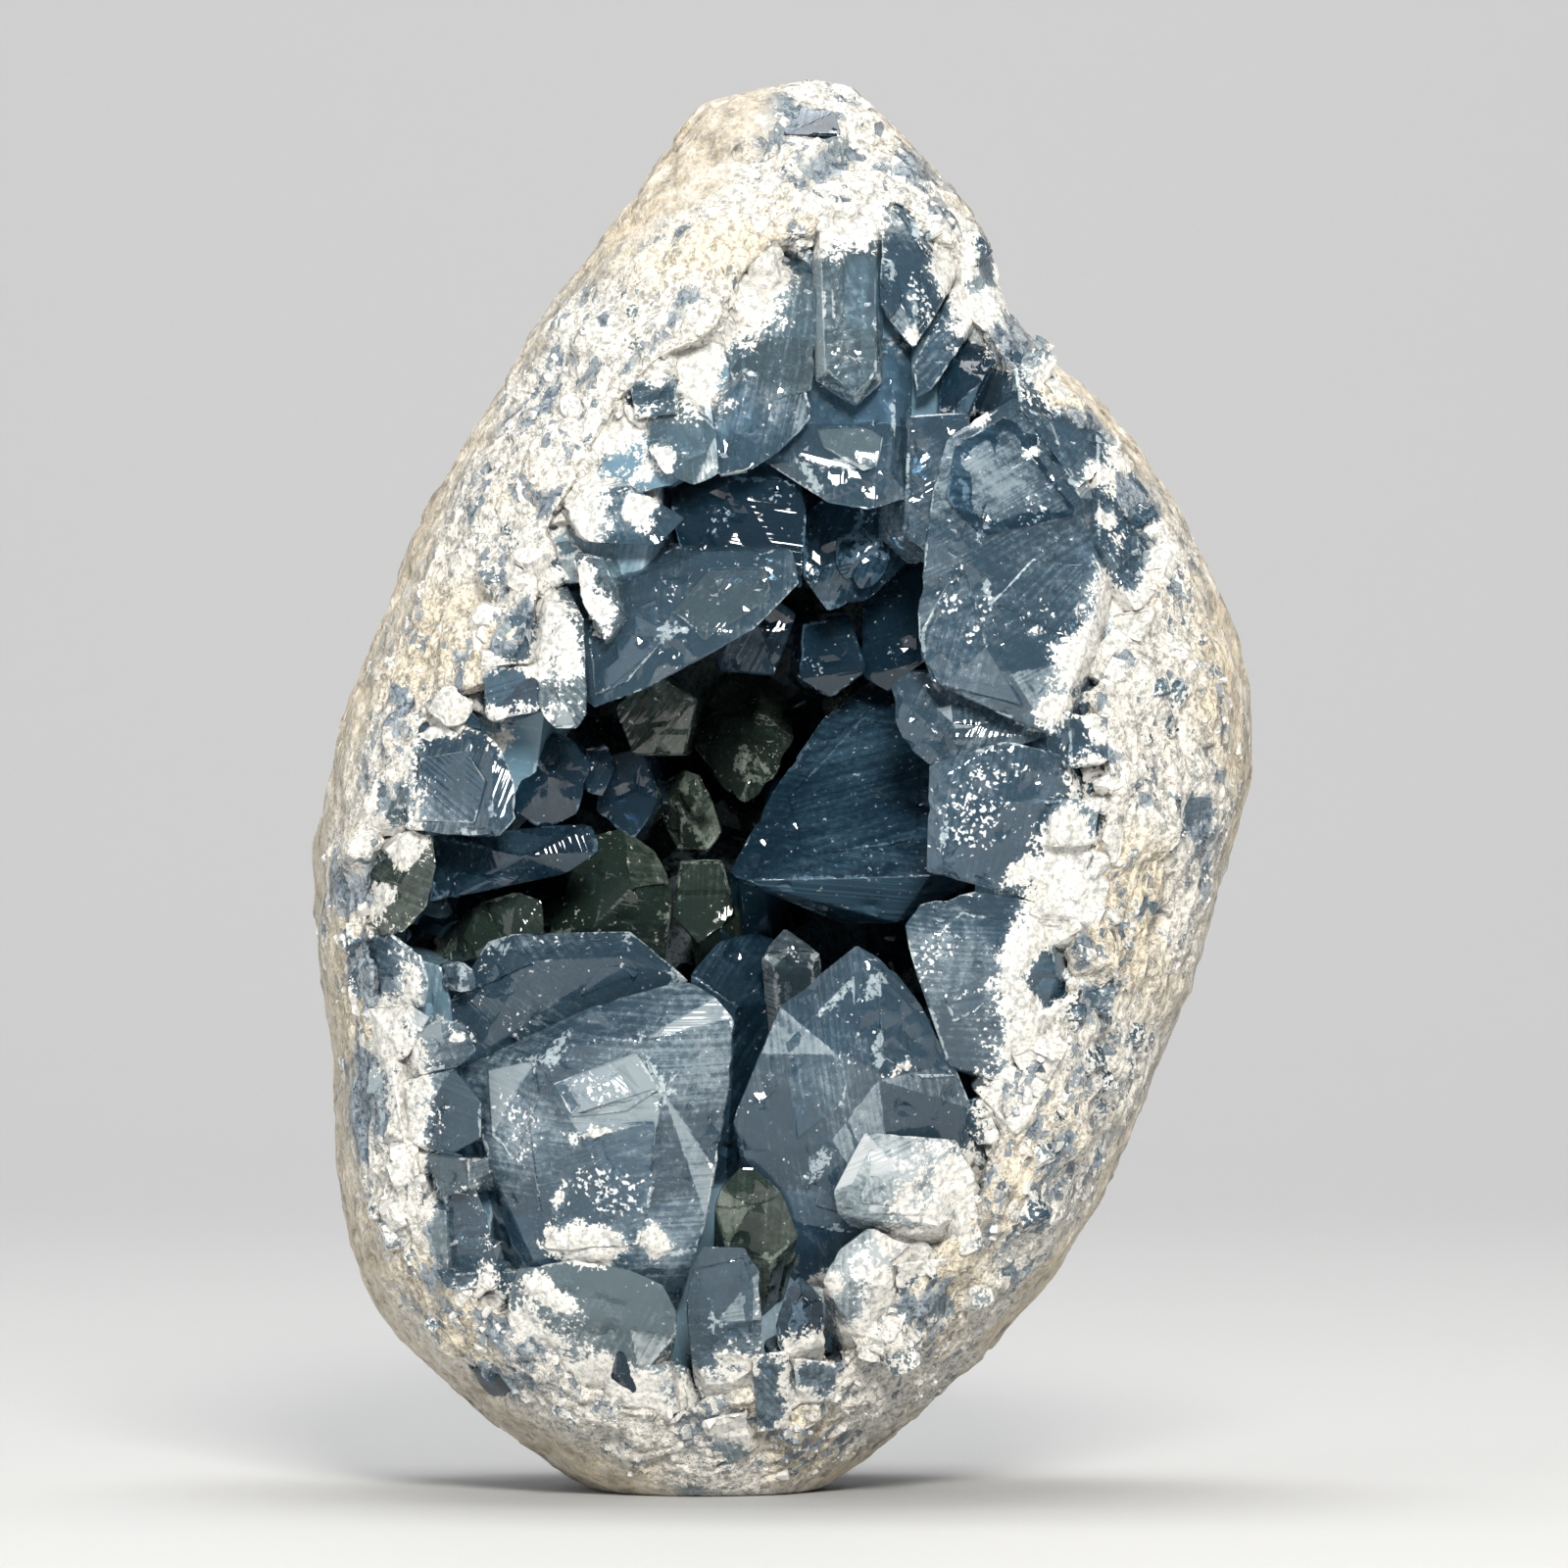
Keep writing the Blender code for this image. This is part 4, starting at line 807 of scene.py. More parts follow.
def front_y(x, z):
    """The y of the unbroken egg's front at a place seen from the front."""
    heights, lefts, rights = zip(*OUTLINE)
    left, right = np.interp(z, heights, lefts), np.interp(z, heights, rights)
    across = abs(x - (left + right) / 2) / ((right - left) / 2)
    bulge = np.clip(1 - across**RING_POWER, 0.0, 1.0) ** (1 / RING_POWER)
    return AXIS_Y - FRONT_SHARE * half_depth(z) * bulge


def placed(x, z, depth):
    """A point this far behind the unbroken egg's front, at a place seen from the front."""
    return Vector((x, float(front_y(x, z)) + depth, z))


def new_object(name, bm):
    """A new object from a mesh in millimetres."""
    bmesh.ops.scale(bm, vec=(MM, MM, MM), verts=bm.verts)
    mesh = bpy.data.meshes.new(name)
    bm.to_mesh(mesh)
    bm.free()
    obj = bpy.data.objects.new(name, mesh)
    bpy.context.scene.collection.objects.link(obj)
    return obj


def coordinates(mesh):
    """The vertices' places as rows of an array."""
    flat = np.empty(len(mesh.vertices) * 3)
    mesh.vertices.foreach_get("co", flat)
    return flat.reshape(-1, 3)


def normals(mesh):
    """The vertices' normals as rows of an array."""
    flat = np.empty(len(mesh.vertices) * 3)
    mesh.vertices.foreach_get("normal", flat)
    return flat.reshape(-1, 3)


def set_coordinates(mesh, points):
    mesh.vertices.foreach_set("co", points.ravel())
    mesh.update()


def set_number(mesh, name, values):
    """Stores one number for each vertex, for the material to read."""
    attribute = mesh.attributes.new(name, "FLOAT", "POINT")
    attribute.data.foreach_set("value", np.asarray(values, dtype=np.float32))


def rough(points, size, seed, stretch=(1.0, 1.0, 1.0)):
    """Smooth noise of about this grain size at each point, from -1 to 1."""
    scaled = points / (np.array(stretch) * size) + seed
    return np.array([noise.noise(p) for p in scaled.tolist()])


def layered(points, name):
    """The sum of the named layers of noise at each point."""
    return sum(much * rough(points, size, seed) for much, size, seed in LAYERS[name])


def ragged(points):
    """The points' x and z, moved a little to and fro, so that patches get a ragged edge."""
    x = points[:, 0] + layered(points, "ragged_x")
    z = points[:, 2] + layered(points, "ragged_z")
    return x, z


def patch_share(place, patches):
    """How far each place lies in one of the drawn patches."""
    x, z = place
    share = np.zeros(len(x))
    for across, up, wide, high, lean in patches:
        turn = math.radians(lean)
        u = (x - across) * math.cos(turn) - (z - up) * math.sin(turn)
        v = (x - across) * math.sin(turn) + (z - up) * math.cos(turn)
        share = np.maximum(share, 1 - smoothstep(*PATCH_EDGE, np.hypot(u / wide, v / high)))
    return share


def drawn_along(points):
    """Coordinates in which noise comes out drawn along the egg's outline."""
    x = points[:, 0] - MOUTH_CENTRE[0]
    z = (points[:, 2] - MOUTH_CENTRE[1]) * EGG_WIDTH_TO_HEIGHT
    turn = np.arctan2(x, z)
    back = np.arctan2(np.hypot(x, z), AXIS_Y - points[:, 1])
    return np.column_stack([ROUND_SCALE * np.cos(turn), ROUND_SCALE * np.sin(turn), BACK_SCALE * back])


def smoothstep(low, high, values):
    """Rises smoothly from 0 at the low value to 1 at the high one."""
    share = np.clip((values - low) / (high - low), 0.0, 1.0)
    return share * share * (3 - 2 * share)


def apply_modifier(obj, modifier):
    """Gives the object the mesh that its modifier makes."""
    graph = bpy.context.evaluated_depsgraph_get()
    mesh = bpy.data.meshes.new_from_object(obj.evaluated_get(graph))
    obj.modifiers.remove(modifier)
    obj.data = mesh


def skin_rings(bm, rings, tip):
    """Faces between rings of vertices, a cap on the first and a point on the last."""
    for ring, following in zip(rings, rings[1:]):
        for i in range(len(ring)):
            j = (i + 1) % len(ring)
            bm.faces.new((ring[i], ring[j], following[j], following[i]))
    bm.faces.new(rings[0])
    point = bm.verts.new(tip)
    last = rings[-1]
    for i in range(len(last)):
        bm.faces.new((last[i], last[(i + 1) % len(last)], point))
    bmesh.ops.recalc_face_normals(bm, faces=bm.faces)


def make_room(grown):
    """The hollow's space, larger all round by a distance: crystals are kept inside it."""
    centre = Vector(MOUTH_CENTRE)
    outline = [Vector(p) for p in MOUTH]
    bm = bmesh.new()
    rings = []
    for y, share in NARROWING:
        ring = []
        for i, point in enumerate(outline):
            along = (outline[(i + 1) % len(outline)] - outline[i - 1]).normalized()
            flat = centre + share * (point - centre) - grown * Vector((along.y, -along.x))
            ring.append(bm.verts.new((flat.x, y + (grown if rings else 0.0), flat.y)))
        rings.append(ring)
    skin_rings(bm, rings, (centre.x, HOLLOW_BACK + grown, centre.y))
    return bm


def hull(points):
    """The closed convex mesh round some points."""
    bm = bmesh.new()
    for point in points:
        bm.verts.new(point)
    made = bmesh.ops.convex_hull(bm, input=bm.verts)
    inside = [v for v in made["geom_interior"] if isinstance(v, bmesh.types.BMVert)]
    bmesh.ops.delete(bm, geom=inside, context="VERTS")
    bmesh.ops.dissolve_limit(bm, angle_limit=SAME_FACE_ANGLE, verts=bm.verts, edges=bm.edges)
    return bm


def large_crystal_points(root, corners):
    """The seen corners, and the same drawn together round the root."""
    seen = [placed(*corner) for corner in corners]
    middle = sum(seen, Vector()) / len(seen)
    base = placed(*root)
    return seen + [base + ROOT_SPREAD * (point - middle) for point in seen]


def cut(bm, at, outward):
    """Keeps what is on the inner side of a plane, with a flat face on the cut."""
    geometry = bm.verts[:] + bm.edges[:] + bm.faces[:]
    made = bmesh.ops.bisect_plane(bm, geom=geometry, plane_co=at, plane_no=outward, clear_outer=True)
    edges = [e for e in made["geom_cut"] if isinstance(e, bmesh.types.BMEdge)]
    if edges:
        bmesh.ops.edgeloop_fill(bm, edges=edges)


def small_crystal(root, tip, width, thickness, roll, blunt):
    """A tabular crystal with a six-sided section and a roof-shaped or slanted end."""
    axis = (tip - root).normalized()
    across = axis.cross(Vector((0.0, 1.0, 0.0)))
    if across.length < ALONG_Y:
        across = axis.cross(Vector((0.0, 0.0, 1.0)))
    across = Matrix.Rotation(roll, 3, axis) @ across.normalized()
    up = across.cross(axis)
    length = (tip - root).length
    bm = bmesh.new()
    bmesh.ops.create_cube(bm, size=4 * length)
    bmesh.ops.translate(bm, vec=(root + tip) / 2, verts=bm.verts)
    cut(bm, root, -axis)
    for sign in (-1, 1):
        cut(bm, root + sign * up * thickness / 2, sign * up)
        for lean in (-SIDE_LEAN, SIDE_LEAN):
            side = math.cos(lean) * sign * across + math.sin(lean) * up
            cut(bm, root + sign * across * width / 2, side)
        cap_lean = CAP_LEAN * (BLUNT_SHARE if blunt and sign > 0 else 1.0)
        cut(bm, tip, math.cos(cap_lean) * axis + math.sin(cap_lean) * sign * across)
    return bm


def turned_crystal(root, tip, width, thickness, blunt, draw):
    """A small crystal turned at random about its length; blunt is how often an end is blunt."""
    return small_crystal(root, tip, width, thickness, draw.uniform(*ANY_TURN), draw.random() < blunt)


def drawn_lean(draw, spread):
    """A sideways lean drawn at random."""
    return Vector([draw.gauss(0, spread) for _ in range(3)])


def mostly_small(sizes, smallness, draw):
    """A size drawn from a range, nearer the small end the greater the smallness."""
    return sizes[0] + (sizes[1] - sizes[0]) * draw.random() ** smallness


def drawn_look(looks, draw):
    """A look drawn by its weight."""
    return draw.choices(list(looks), list(looks.values()))[0]


def faces_of(bm):
    """The planes of a convex mesh's faces: outward normals, and how far out each lies."""
    bm.normal_update()
    outward = np.array([f.normal for f in bm.faces])
    far = np.array([f.normal.dot(f.verts[0].co) for f in bm.faces])
    return outward, far


def refine(bm, longest):
    """Splits edges until none is longer than this; those turned away or far back may be longer."""
    bmesh.ops.triangulate(bm, faces=bm.faces)
    depths = [v.co.y for v in bm.verts]
    limit = min(depths) + SEEN_DEPTH * (max(depths) - min(depths)) if depths else 0.0
    for _ in range(REFINE_ROUNDS):
        bm.normal_update()
        front = (f for f in bm.faces if f.normal.y < TURNED_AWAY and f.calc_center_median().y < limit)
        seen = {e for f in front for e in f.edges}
        long = [e for e in bm.edges if e.calc_length() > (longest if e in seen else COARSER * longest)]
        if not long:
            break
        bmesh.ops.subdivide_edges(bm, edges=long, cuts=1)
        bmesh.ops.triangulate(bm, faces=[f for f in bm.faces if len(f.verts) > 3])


def mouth_distance(points):
    """How far inside the mouth's edge each point lies, seen from the front."""
    outline = np.array(MOUTH)
    following = np.roll(outline, -1, axis=0)
    flat = points[:, [0, 2]][:, None, :]
    along = following - outline
    share = ((flat - outline) * along).sum(axis=2) / (along**2).sum(axis=1)
    nearest = outline + np.clip(share, 0, 1)[:, :, None] * along
    return np.linalg.norm(flat - nearest, axis=2).min(axis=1)


def front_depth(points):
    """How far behind the egg's front each point lies."""
    return points[:, 1] - front_y(points[:, 0], points[:, 2])


def crust_share(points, place):
    """How far white crust covers a crystal's point: near the mouth's edge and the front."""
    edge = mouth_distance(points) + layered(points, "crust_edge")
    depth = front_depth(points) + layered(points, "crust_depth")
    near = 1 - smoothstep(CRUST_REACH - CRUST_FADE, CRUST_REACH + CRUST_FADE, edge)
    return near * (1 - smoothstep(*CRUST_DEPTH, depth)) * (1 - patch_share(place, BLUE_PATCHES))


def kept_in(bm, room):
    """What of a mesh lies inside the room, as a new mesh."""
    obj = new_object("cutting", bm)
    modifier = obj.modifiers.new("inside", "BOOLEAN")
    modifier.operation = "INTERSECT"
    modifier.solver = "MANIFOLD"
    modifier.object = room
    apply_modifier(obj, modifier)
    kept = bmesh.new()
    kept.from_mesh(obj.data)
    bmesh.ops.scale(kept, vec=(1 / MM, 1 / MM, 1 / MM), verts=kept.verts)
    bpy.data.objects.remove(obj)
    return kept


def steps_on(distance, on, outward, points, draw):
    """Moves that lower bands beside some edges, so that a face ends in growth steps."""
    moved = np.zeros_like(points)
    wobble = STEP_WOBBLE * rough(points, STEP_WOBBLE_SIZE, draw.uniform(*ANY_NOISE))
    for _ in range(STEPS):
        face, edge = draw.sample(range(len(outward)), 2)
        width, height = draw.uniform(*STEP_WIDTH), draw.uniform(*STEP_HEIGHT)
        lower = on[:, face] & (distance[:, edge] + wobble < width)
        moved[lower] -= height * outward[face]
    return moved


def haze_at(points, seed):
    """How cloudy a crystal is at each point: broad veils and drawn-out wisps."""
    turn = np.array(Matrix.Rotation(seed, 3, "Y"))
    veils = rough(points, VEIL_SIZE, seed)
    wisps = rough(points @ turn.T, WISP_SIZE, seed + 7, WISP_STRETCH)
    return HAZE + VEILS * veils + WISPS * wisps


def painted_glint_at(points, seed):
    """How far a crystal's surface gets painted glints at each point."""
    place = rough(points, PAINTED_GLINT_SIZE, seed + 9)
    place = place + PAINTED_GLINT_RAGGED * rough(points, PAINTED_GLINT_RAGGED_SIZE, seed + 13)
    return PAINTED_GLINT * smoothstep(*PAINTED_GLINT_RANGE, place)


def painted_edge_highlights(points, distance, nearest, outward, seed):
    """How far a crystal's surface is painted lighter, as a highlight, beside an edge between faces that
    lean apart.
    """
    apart = (outward @ outward.T < EDGE_COSINE)[nearest]
    to_edge = np.where(apart, distance, EDGE_FADE + 1).min(axis=1)
    whole = smoothstep(*EDGE_GAP_RANGE, rough(points, EDGE_GAPS, seed + 17))
    return np.clip(1 - (to_edge - BEVEL) / EDGE_FADE, 0, 1) * whole


def chips_at(points, second, seed):
    """How far in the chips beside a crystal's edges reach at each point."""
    chip = np.maximum(rough(points, CHIP_SIZE, seed) - CHIP_START, 0) * CHIP_DEPTH
    return chip * np.clip(1 - second / CHIP_REACH, 0, 1)


def worn(points, outward, far, draw, seed):
    """A crystal's points with worn, chipped edges, growth steps and gently wavy faces."""
    distance = far - points @ outward.T
    on = distance < ON_FACE
    surface = distance.min(axis=1) < NEAR_FACE
    near = np.exp(-np.maximum(distance, 0) / EDGE_REACH)
    pull = near @ outward
    length = np.linalg.norm(pull, axis=1, keepdims=True)
    pull = pull / np.maximum(length, 1e-6)
    crowd = np.clip(near.sum(axis=1) - 1, 0, 2)
    second = np.partition(distance, 1, axis=1)[:, 1]
    wave = WAVE * rough(points, WAVE_SIZE, seed + 5)
    inward = EDGE_WEAR * crowd + chips_at(points, second, seed) - wave * np.clip(second, 0, 1)
    nearest = distance.argmin(axis=1)
    front = outward[nearest][:, 1] < CRUSTED_FACE
    place = ragged(points)
    # White crust from the mouth's edge and the listed patches; one of these patches is a painted highlight
    crust = np.maximum(crust_share(points, place), front * patch_share(place, CRUST_AND_HIGHLIGHT_PATCHES))
    grain = CRUST_ROUGH * layered(points, "crust_grain")
    out = crust * (grain + CRUST_PROUD) - (1 - CRUST_SHELTER * crust) * inward
    moved = steps_on(distance, on, outward, points, draw) + out[:, None] * pull
    etched = np.array([1.0 if draw.random() < ETCHED else 0.0 for _ in far])[nearest]
    # painted highlights along the edges
    edge = painted_edge_highlights(points, distance, nearest, outward, seed)
    numbers = {
        "crust": crust,
        "haze": haze_at(points, seed),
        "etched": etched * surface,
        # painted glints, at random and in the listed places
        "glitter": np.maximum(painted_glint_at(points, seed), front * patch_share(place, PAINTED_GLINT_PATCHES)),
        "edge": edge * surface,
    }
    return points + moved * surface[:, None], numbers


def bevelled(bm):
    """Narrow flats along the edges, which catch the light as they do on a real crystal."""
    bmesh.ops.bevel(bm, geom=bm.edges[:], offset=BEVEL, segments=1, affect="EDGES", clamp_overlap=True)


def finished(bm, outward, far, edge, draw, seed=None):
    """A convex crystal's worn points, its triangles, and its numbers for the material."""
    refine(bm, edge)
    bm.verts.index_update()
    at = np.array([v.co for v in bm.verts])
    triangles = np.array([[v.index for v in f.verts] for f in bm.faces])
    bm.free()
    if not len(at):
        return None
    along = Vector(outward[draw.randrange(len(outward))]).cross(Vector(LINE_SIDE)).normalized()
    if seed is None:
        seed = draw.uniform(*ANY_NOISE)
    moved, numbers = worn(at, outward, far, draw, seed)
    numbers["line"] = at @ np.array(along)
    return moved, triangles, numbers


def crystal(points, room, draw, seed):
    """One large crystal, cut off where it would run out through the rind."""
    bm = hull(points)
    outward, far = faces_of(bm)
    bevelled(bm)
    bm = kept_in(bm, room)
    return finished(bm, outward, far, CRYSTAL_EDGE, draw, seed)


def front_of(outward, far, x, z):
    """The y at which a convex crystal's front lies at a place seen from the front."""
    return max((f - n[0] * x - n[2] * z) / n[1] for n, f in zip(outward, far) if n[1] < SLANTED_FACE)


def plate(points, proud, outline):
    """The corners of a thin plate that stands proud of a convex crystal's front."""
    outward, far = faces_of(hull(points))
    for x, z in outline:
        y = front_of(outward, far, x, z)
        yield Vector((x, y - proud, z))
        yield Vector((x, y + PLATE_DEPTH, z))


def twins(points, draw):
    """Smaller copies of a convex crystal, each a little proud of one of its front faces."""
    bm = hull(points)
    bm.normal_update()
    middle = sum((v.co for v in bm.verts), Vector()) / len(bm.verts)
    fronts = [f for f in bm.faces if f.normal.y < FRONT_FACE]
    fronts.sort(key=lambda f: -f.calc_area())
    for _ in range(TWINS):
        face = fronts[min(int(draw.expovariate(LARGE_FACE_RATE)), len(fronts) - 1)]
        share = draw.uniform(*TWIN_SHARE)
        corner = draw.choice(face.verts[:]).co
        spot = face.calc_center_median().lerp(corner, draw.uniform(*TWIN_OFF_CENTRE))
        out = (face.calc_center_median() - middle).dot(face.normal)
        centre = spot + face.normal * (draw.uniform(*TWIN_PROUD) - share * out)
        yield [centre + share * (point - middle) for point in points]
    bm.free()


class Pile:
    """Closed meshes gathered to become one or more pieces, with numbers for each vertex."""

    def __init__(self):
        self.solids = []

    def add(self, points, triangles, **numbers):
        self.solids.append((points, triangles, numbers))

    def add_bmesh(self, bm, **numbers):
        bmesh.ops.recalc_face_normals(bm, faces=bm.faces)
        bmesh.ops.triangulate(bm, faces=bm.faces)
        bm.verts.index_update()
        points = np.array([v.co for v in bm.verts])
        triangles = np.array([[v.index for v in f.verts] for f in bm.faces])
        bm.free()
        self.add(points, triangles, **numbers)

    def shares(self):
        """The solids in lists of no more triangles than one piece may have."""
        share, count = [], 0
        for solid in self.solids:
            if share and count + len(solid[1]) > PIECE_TRIANGLES:
                yield share
                share, count = [], 0
            share.append(solid)
            count += len(solid[1])
        if share:
            yield share


def joined(solids, name, material):
    """One object from many closed meshes."""
    starts = np.cumsum([0] + [len(points) for points, _, _ in solids])
    corners = np.concatenate([points for points, _, _ in solids]) * MM
    triangles = np.concatenate([faces + first for (_, faces, _), first in zip(solids, starts)])
    mesh = bpy.data.meshes.new(name)
    mesh.from_pydata(corners.tolist(), [], triangles.tolist())
    for number in NUMBERS:
        values = [np.broadcast_to(kept.get(number, 0.0), len(points)) for points, _, kept in solids]
        set_number(mesh, number, np.concatenate(values))
    mesh.shade_smooth()
    mesh.set_sharp_from_angle(angle=SHARP_ANGLE)
    mesh.materials.append(material)
    obj = bpy.data.objects.new(name, mesh)
    bpy.context.scene.collection.objects.link(obj)
    return obj


def look_of(name):
    """The look of a large crystal."""
    return next((look for look, names in LOOKS.items() if name in names), "hazy")


def large_crystals(room, draw):
    """The large crystals with their parallel growth, one pile for each look."""
    piles = {look: Pile() for look in CRYSTAL_PAINTS}
    for name, (root, *groups) in CRYSTALS.items():
        points = large_crystal_points(root, [corner for group in groups for corner in group])
        tone, seed = draw.random(), draw.uniform(*ANY_NOISE)
        for solid in [points, *(() if name in TWINLESS else twins(points, draw))]:
            made = crystal(solid, room, draw, seed)
            if made:
                piles[look_of(name)].add(made[0], made[1], tone=tone, **made[2])
        for parent, look, proud, outline in PLATES:
            if parent == name:
                add_plate(piles, look, list(plate(points, proud, outline)), draw, seed, tone)
    for look, back, corners in FILLERS.values():
        front = [placed(*corner) for corner in corners]
        behind = [p + Vector((BACK_LEAN * (MOUTH_CENTRE[0] - p.x), back, 0.0)) for p in front]
        add_plate(piles, look, front + behind, draw, draw.uniform(*ANY_NOISE), draw.random())
    return piles


def add_plate(piles, look, corners, draw, seed, tone):
    """Adds a plate or a filler to the pile of its look; an etched one is frosted all over."""
    bm = hull(corners)
    outward, far = faces_of(bm)
    bevelled(bm)
    edge = CLOUDY_EDGE if look == "cloudy" else CRYSTAL_EDGE
    moved, triangles, numbers = finished(bm, outward, far, edge, draw, seed)
    if look == "etched":
        numbers["etched"] = np.ones(len(moved))
        look = "hazy"
    piles[look].add(moved, triangles, tone=tone, **numbers)


def wall_spots(count, draw):
    """Places on the hollow's wall and the way into the hollow from each."""
    centre = Vector(MOUTH_CENTRE)
    outline = [Vector(p) for p in MOUTH]
    for _ in range(count):
        y = draw.triangular(*DRUSE_Y)
        share = float(np.interp(y, *zip(*NARROWING, (HOLLOW_BACK, NARROWEST))))
        i = draw.randrange(len(outline))
        flat = outline[i].lerp(outline[(i + 1) % len(outline)], draw.random())
        reach = draw.uniform(*DRUSE_REACH) if y < DRUSE_BACK_Y else math.sqrt(draw.random())
        flat = centre + share * reach * (flat - centre)
        if y < front_y(flat.x, flat.y) + DRUSE_COVER:
            continue
        inward = Vector((centre.x - flat.x, 0.0, centre.y - flat.y)).normalized()
        inward.y = -DRUSE_FORWARD - (1 - DRUSE_FORWARD) * (1 - share)
        yield Vector((flat.x, y, flat.y)), inward.normalized()


def druse(piles, draw):
    """Small crystals all over the hollow's wall."""
    for spot, inward in wall_spots(DRUSE, draw):
        lean = Vector([draw.uniform(-DRUSE_LEAN, DRUSE_LEAN) for _ in range(3)])
        length = draw.uniform(*DRUSE_LENGTH)
        axis = (inward + lean).normalized()
        width = length * draw.uniform(*DRUSE_WIDTH)
        root, tip = spot - DRUSE_ROOT * axis, spot + length * axis
        bm = turned_crystal(root, tip, width, DRUSE_FLATNESS * width, BLUNT_ENDS, draw)
        # Deeper in the hollow the druse is mostly dark: a painted shade
        deep = spot.y > DRUSE_SHADED_Y
        look = draw.choice(("deep", "deep", "green") if deep else ("hazy", "deep", "clear"))
        bevelled(bm)
        tone, line, haze = draw.random(), draw.uniform(*DRUSE_LINES), draw.random() * DRUSE_HAZE
        piles[look].add_bmesh(bm, tone=tone, line=line, haze=haze)


def block(name, low, high):
    """A box between two corners in millimetres."""
    bm = bmesh.new()
    made = bmesh.ops.create_cube(bm, size=1.0)
    for vert in made["verts"]:
        vert.co = Vector([a if c < 0 else b for a, b, c in zip(low, high, vert.co)])
    return new_object(name, bm)


def fringe(room, piles, draw):
    """Crystals just inside the mouth's edge, which close gaps between the large ones and the rim."""
    outline = [Vector(p) for p in MOUTH]
    for k in range(FRINGE):
        place = (k + draw.uniform(-FRINGE_JITTER, FRINGE_JITTER)) / FRINGE * len(outline)
        i = int(place) % len(outline)
        start, end = outline[i], outline[(i + 1) % len(outline)]
        along = (end - start).normalized()
        inward = Vector((along.y, 0.0, -along.x))
        flat = start.lerp(end, place % 1)
        size = draw.uniform(*FRINGE_SIZE)
        spot = placed(flat.x, flat.y, draw.uniform(*FRINGE_DEPTH))
        spot += draw.uniform(*FRINGE_INSIDE) * inward
        axis = (inward + Vector((0, -FRINGE_FORWARD, 0)) + drawn_lean(draw, FRINGE_LEAN)).normalized()
        width = size * draw.uniform(*FRINGE_WIDTH)
        root = spot - FRINGE_ROOT * size * axis
        tip = root + size * axis
        bm = turned_crystal(root, tip, width, FLATNESS * width, BLUNT_ENDS, draw)
        outward, far = faces_of(bm)
        bevelled(bm)
        made = finished(kept_in(bm, room), outward, far, RIM_CRYSTAL_EDGE, draw)
        look = drawn_look(FRINGE_LOOKS, draw)
        if made:
            piles[look].add(made[0], made[1], tone=draw.random(), **made[2])


def remeshed_rind(node, name):
    """A fine, smoothed copy of the front or back of the rind's solid."""
    obj = bpy.data.objects.new(name, node.data.copy())
    bpy.context.scene.collection.objects.link(obj)
    front = name == "rind_front"
    low = (-HALF_REACH, -HALF_REACH if front else RIND_SPLIT_Y - RIND_OVERLAP, HALF_HEIGHTS[0])
    high = (HALF_REACH, RIND_SPLIT_Y + RIND_OVERLAP if front else HALF_REACH, HALF_HEIGHTS[1])
    half = block("half", low, high)
    remesh = obj.modifiers.new("remesh", "REMESH")
    remesh.mode = "VOXEL"
    remesh.voxel_size = RIND_VOXELS[name] * MM
    apply_modifier(obj, remesh)
    relax = obj.modifiers.new("relax", "SMOOTH")
    relax.factor = 0.5
    relax.iterations = RIND_RELAX[name]
    apply_modifier(obj, relax)
    part = obj.modifiers.new("half", "BOOLEAN")
    part.operation = "INTERSECT"
    part.solver = "MANIFOLD"
    part.object = half
    apply_modifier(obj, part)
    bpy.data.objects.remove(half)
    return obj


def skin_share(points):
    """How far each point belongs to the weathered skin rather than the broken rim."""
    left = np.interp(points[:, 2], *zip(*SKIN_LEFT))
    right = np.interp(points[:, 2], *zip(*SKIN_RIGHT))
    inside = np.minimum(points[:, 0] - left, right - points[:, 0])
    inside += layered(points, "skin_edge")
    inside = np.minimum(inside, (SKIN_BEHIND_Y - points[:, 1]) * 0.5)
    return 1 - smoothstep(*SKIN_FADE, inside)


def within_mouth(points):
    """Which points lie inside the mouth's edge, seen from the front."""
    x, z = points[:, 0], points[:, 2]
    inside = np.zeros(len(points), dtype=bool)
    for i, (x1, z1) in enumerate(MOUTH):
        x0, z0 = MOUTH[i - 1]
        crosses = (z0 > z) != (z1 > z)
        if z0 != z1:
            inside ^= crosses & (x < (x1 - x0) * (z - z0) / (z1 - z0) + x0)
    return inside


def hollow_shade_share(points, facing):
    """How far each point takes the painted shade of the wall deep inside the hollow, more the further
    behind the front it lies.
    """
    from_middle = points[:, [0, 2]] - np.array(MOUTH_CENTRE)
    away = (from_middle * facing[:, [0, 2]]).sum(axis=1) / np.linalg.norm(from_middle, axis=1)
    inward = (facing[:, 1] < 0.5) & (away < CAVITY_FACING)
    inside = within_mouth(points) & inward & (points[:, 1] < HOLLOW_BACK + 1)
    return inside * smoothstep(*CAVITY_DEPTH, front_depth(points))


def scattered(points, size, draw):
    """Indices of points about this far apart: one for each cell of a jittered grid."""
    cells = {}
    keys = np.floor((points + draw.random()) / size).astype(int).tolist()
    for k in draw.sample(range(len(points)), len(points)):
        cells.setdefault(tuple(keys[k]), k)
    return list(cells.values())


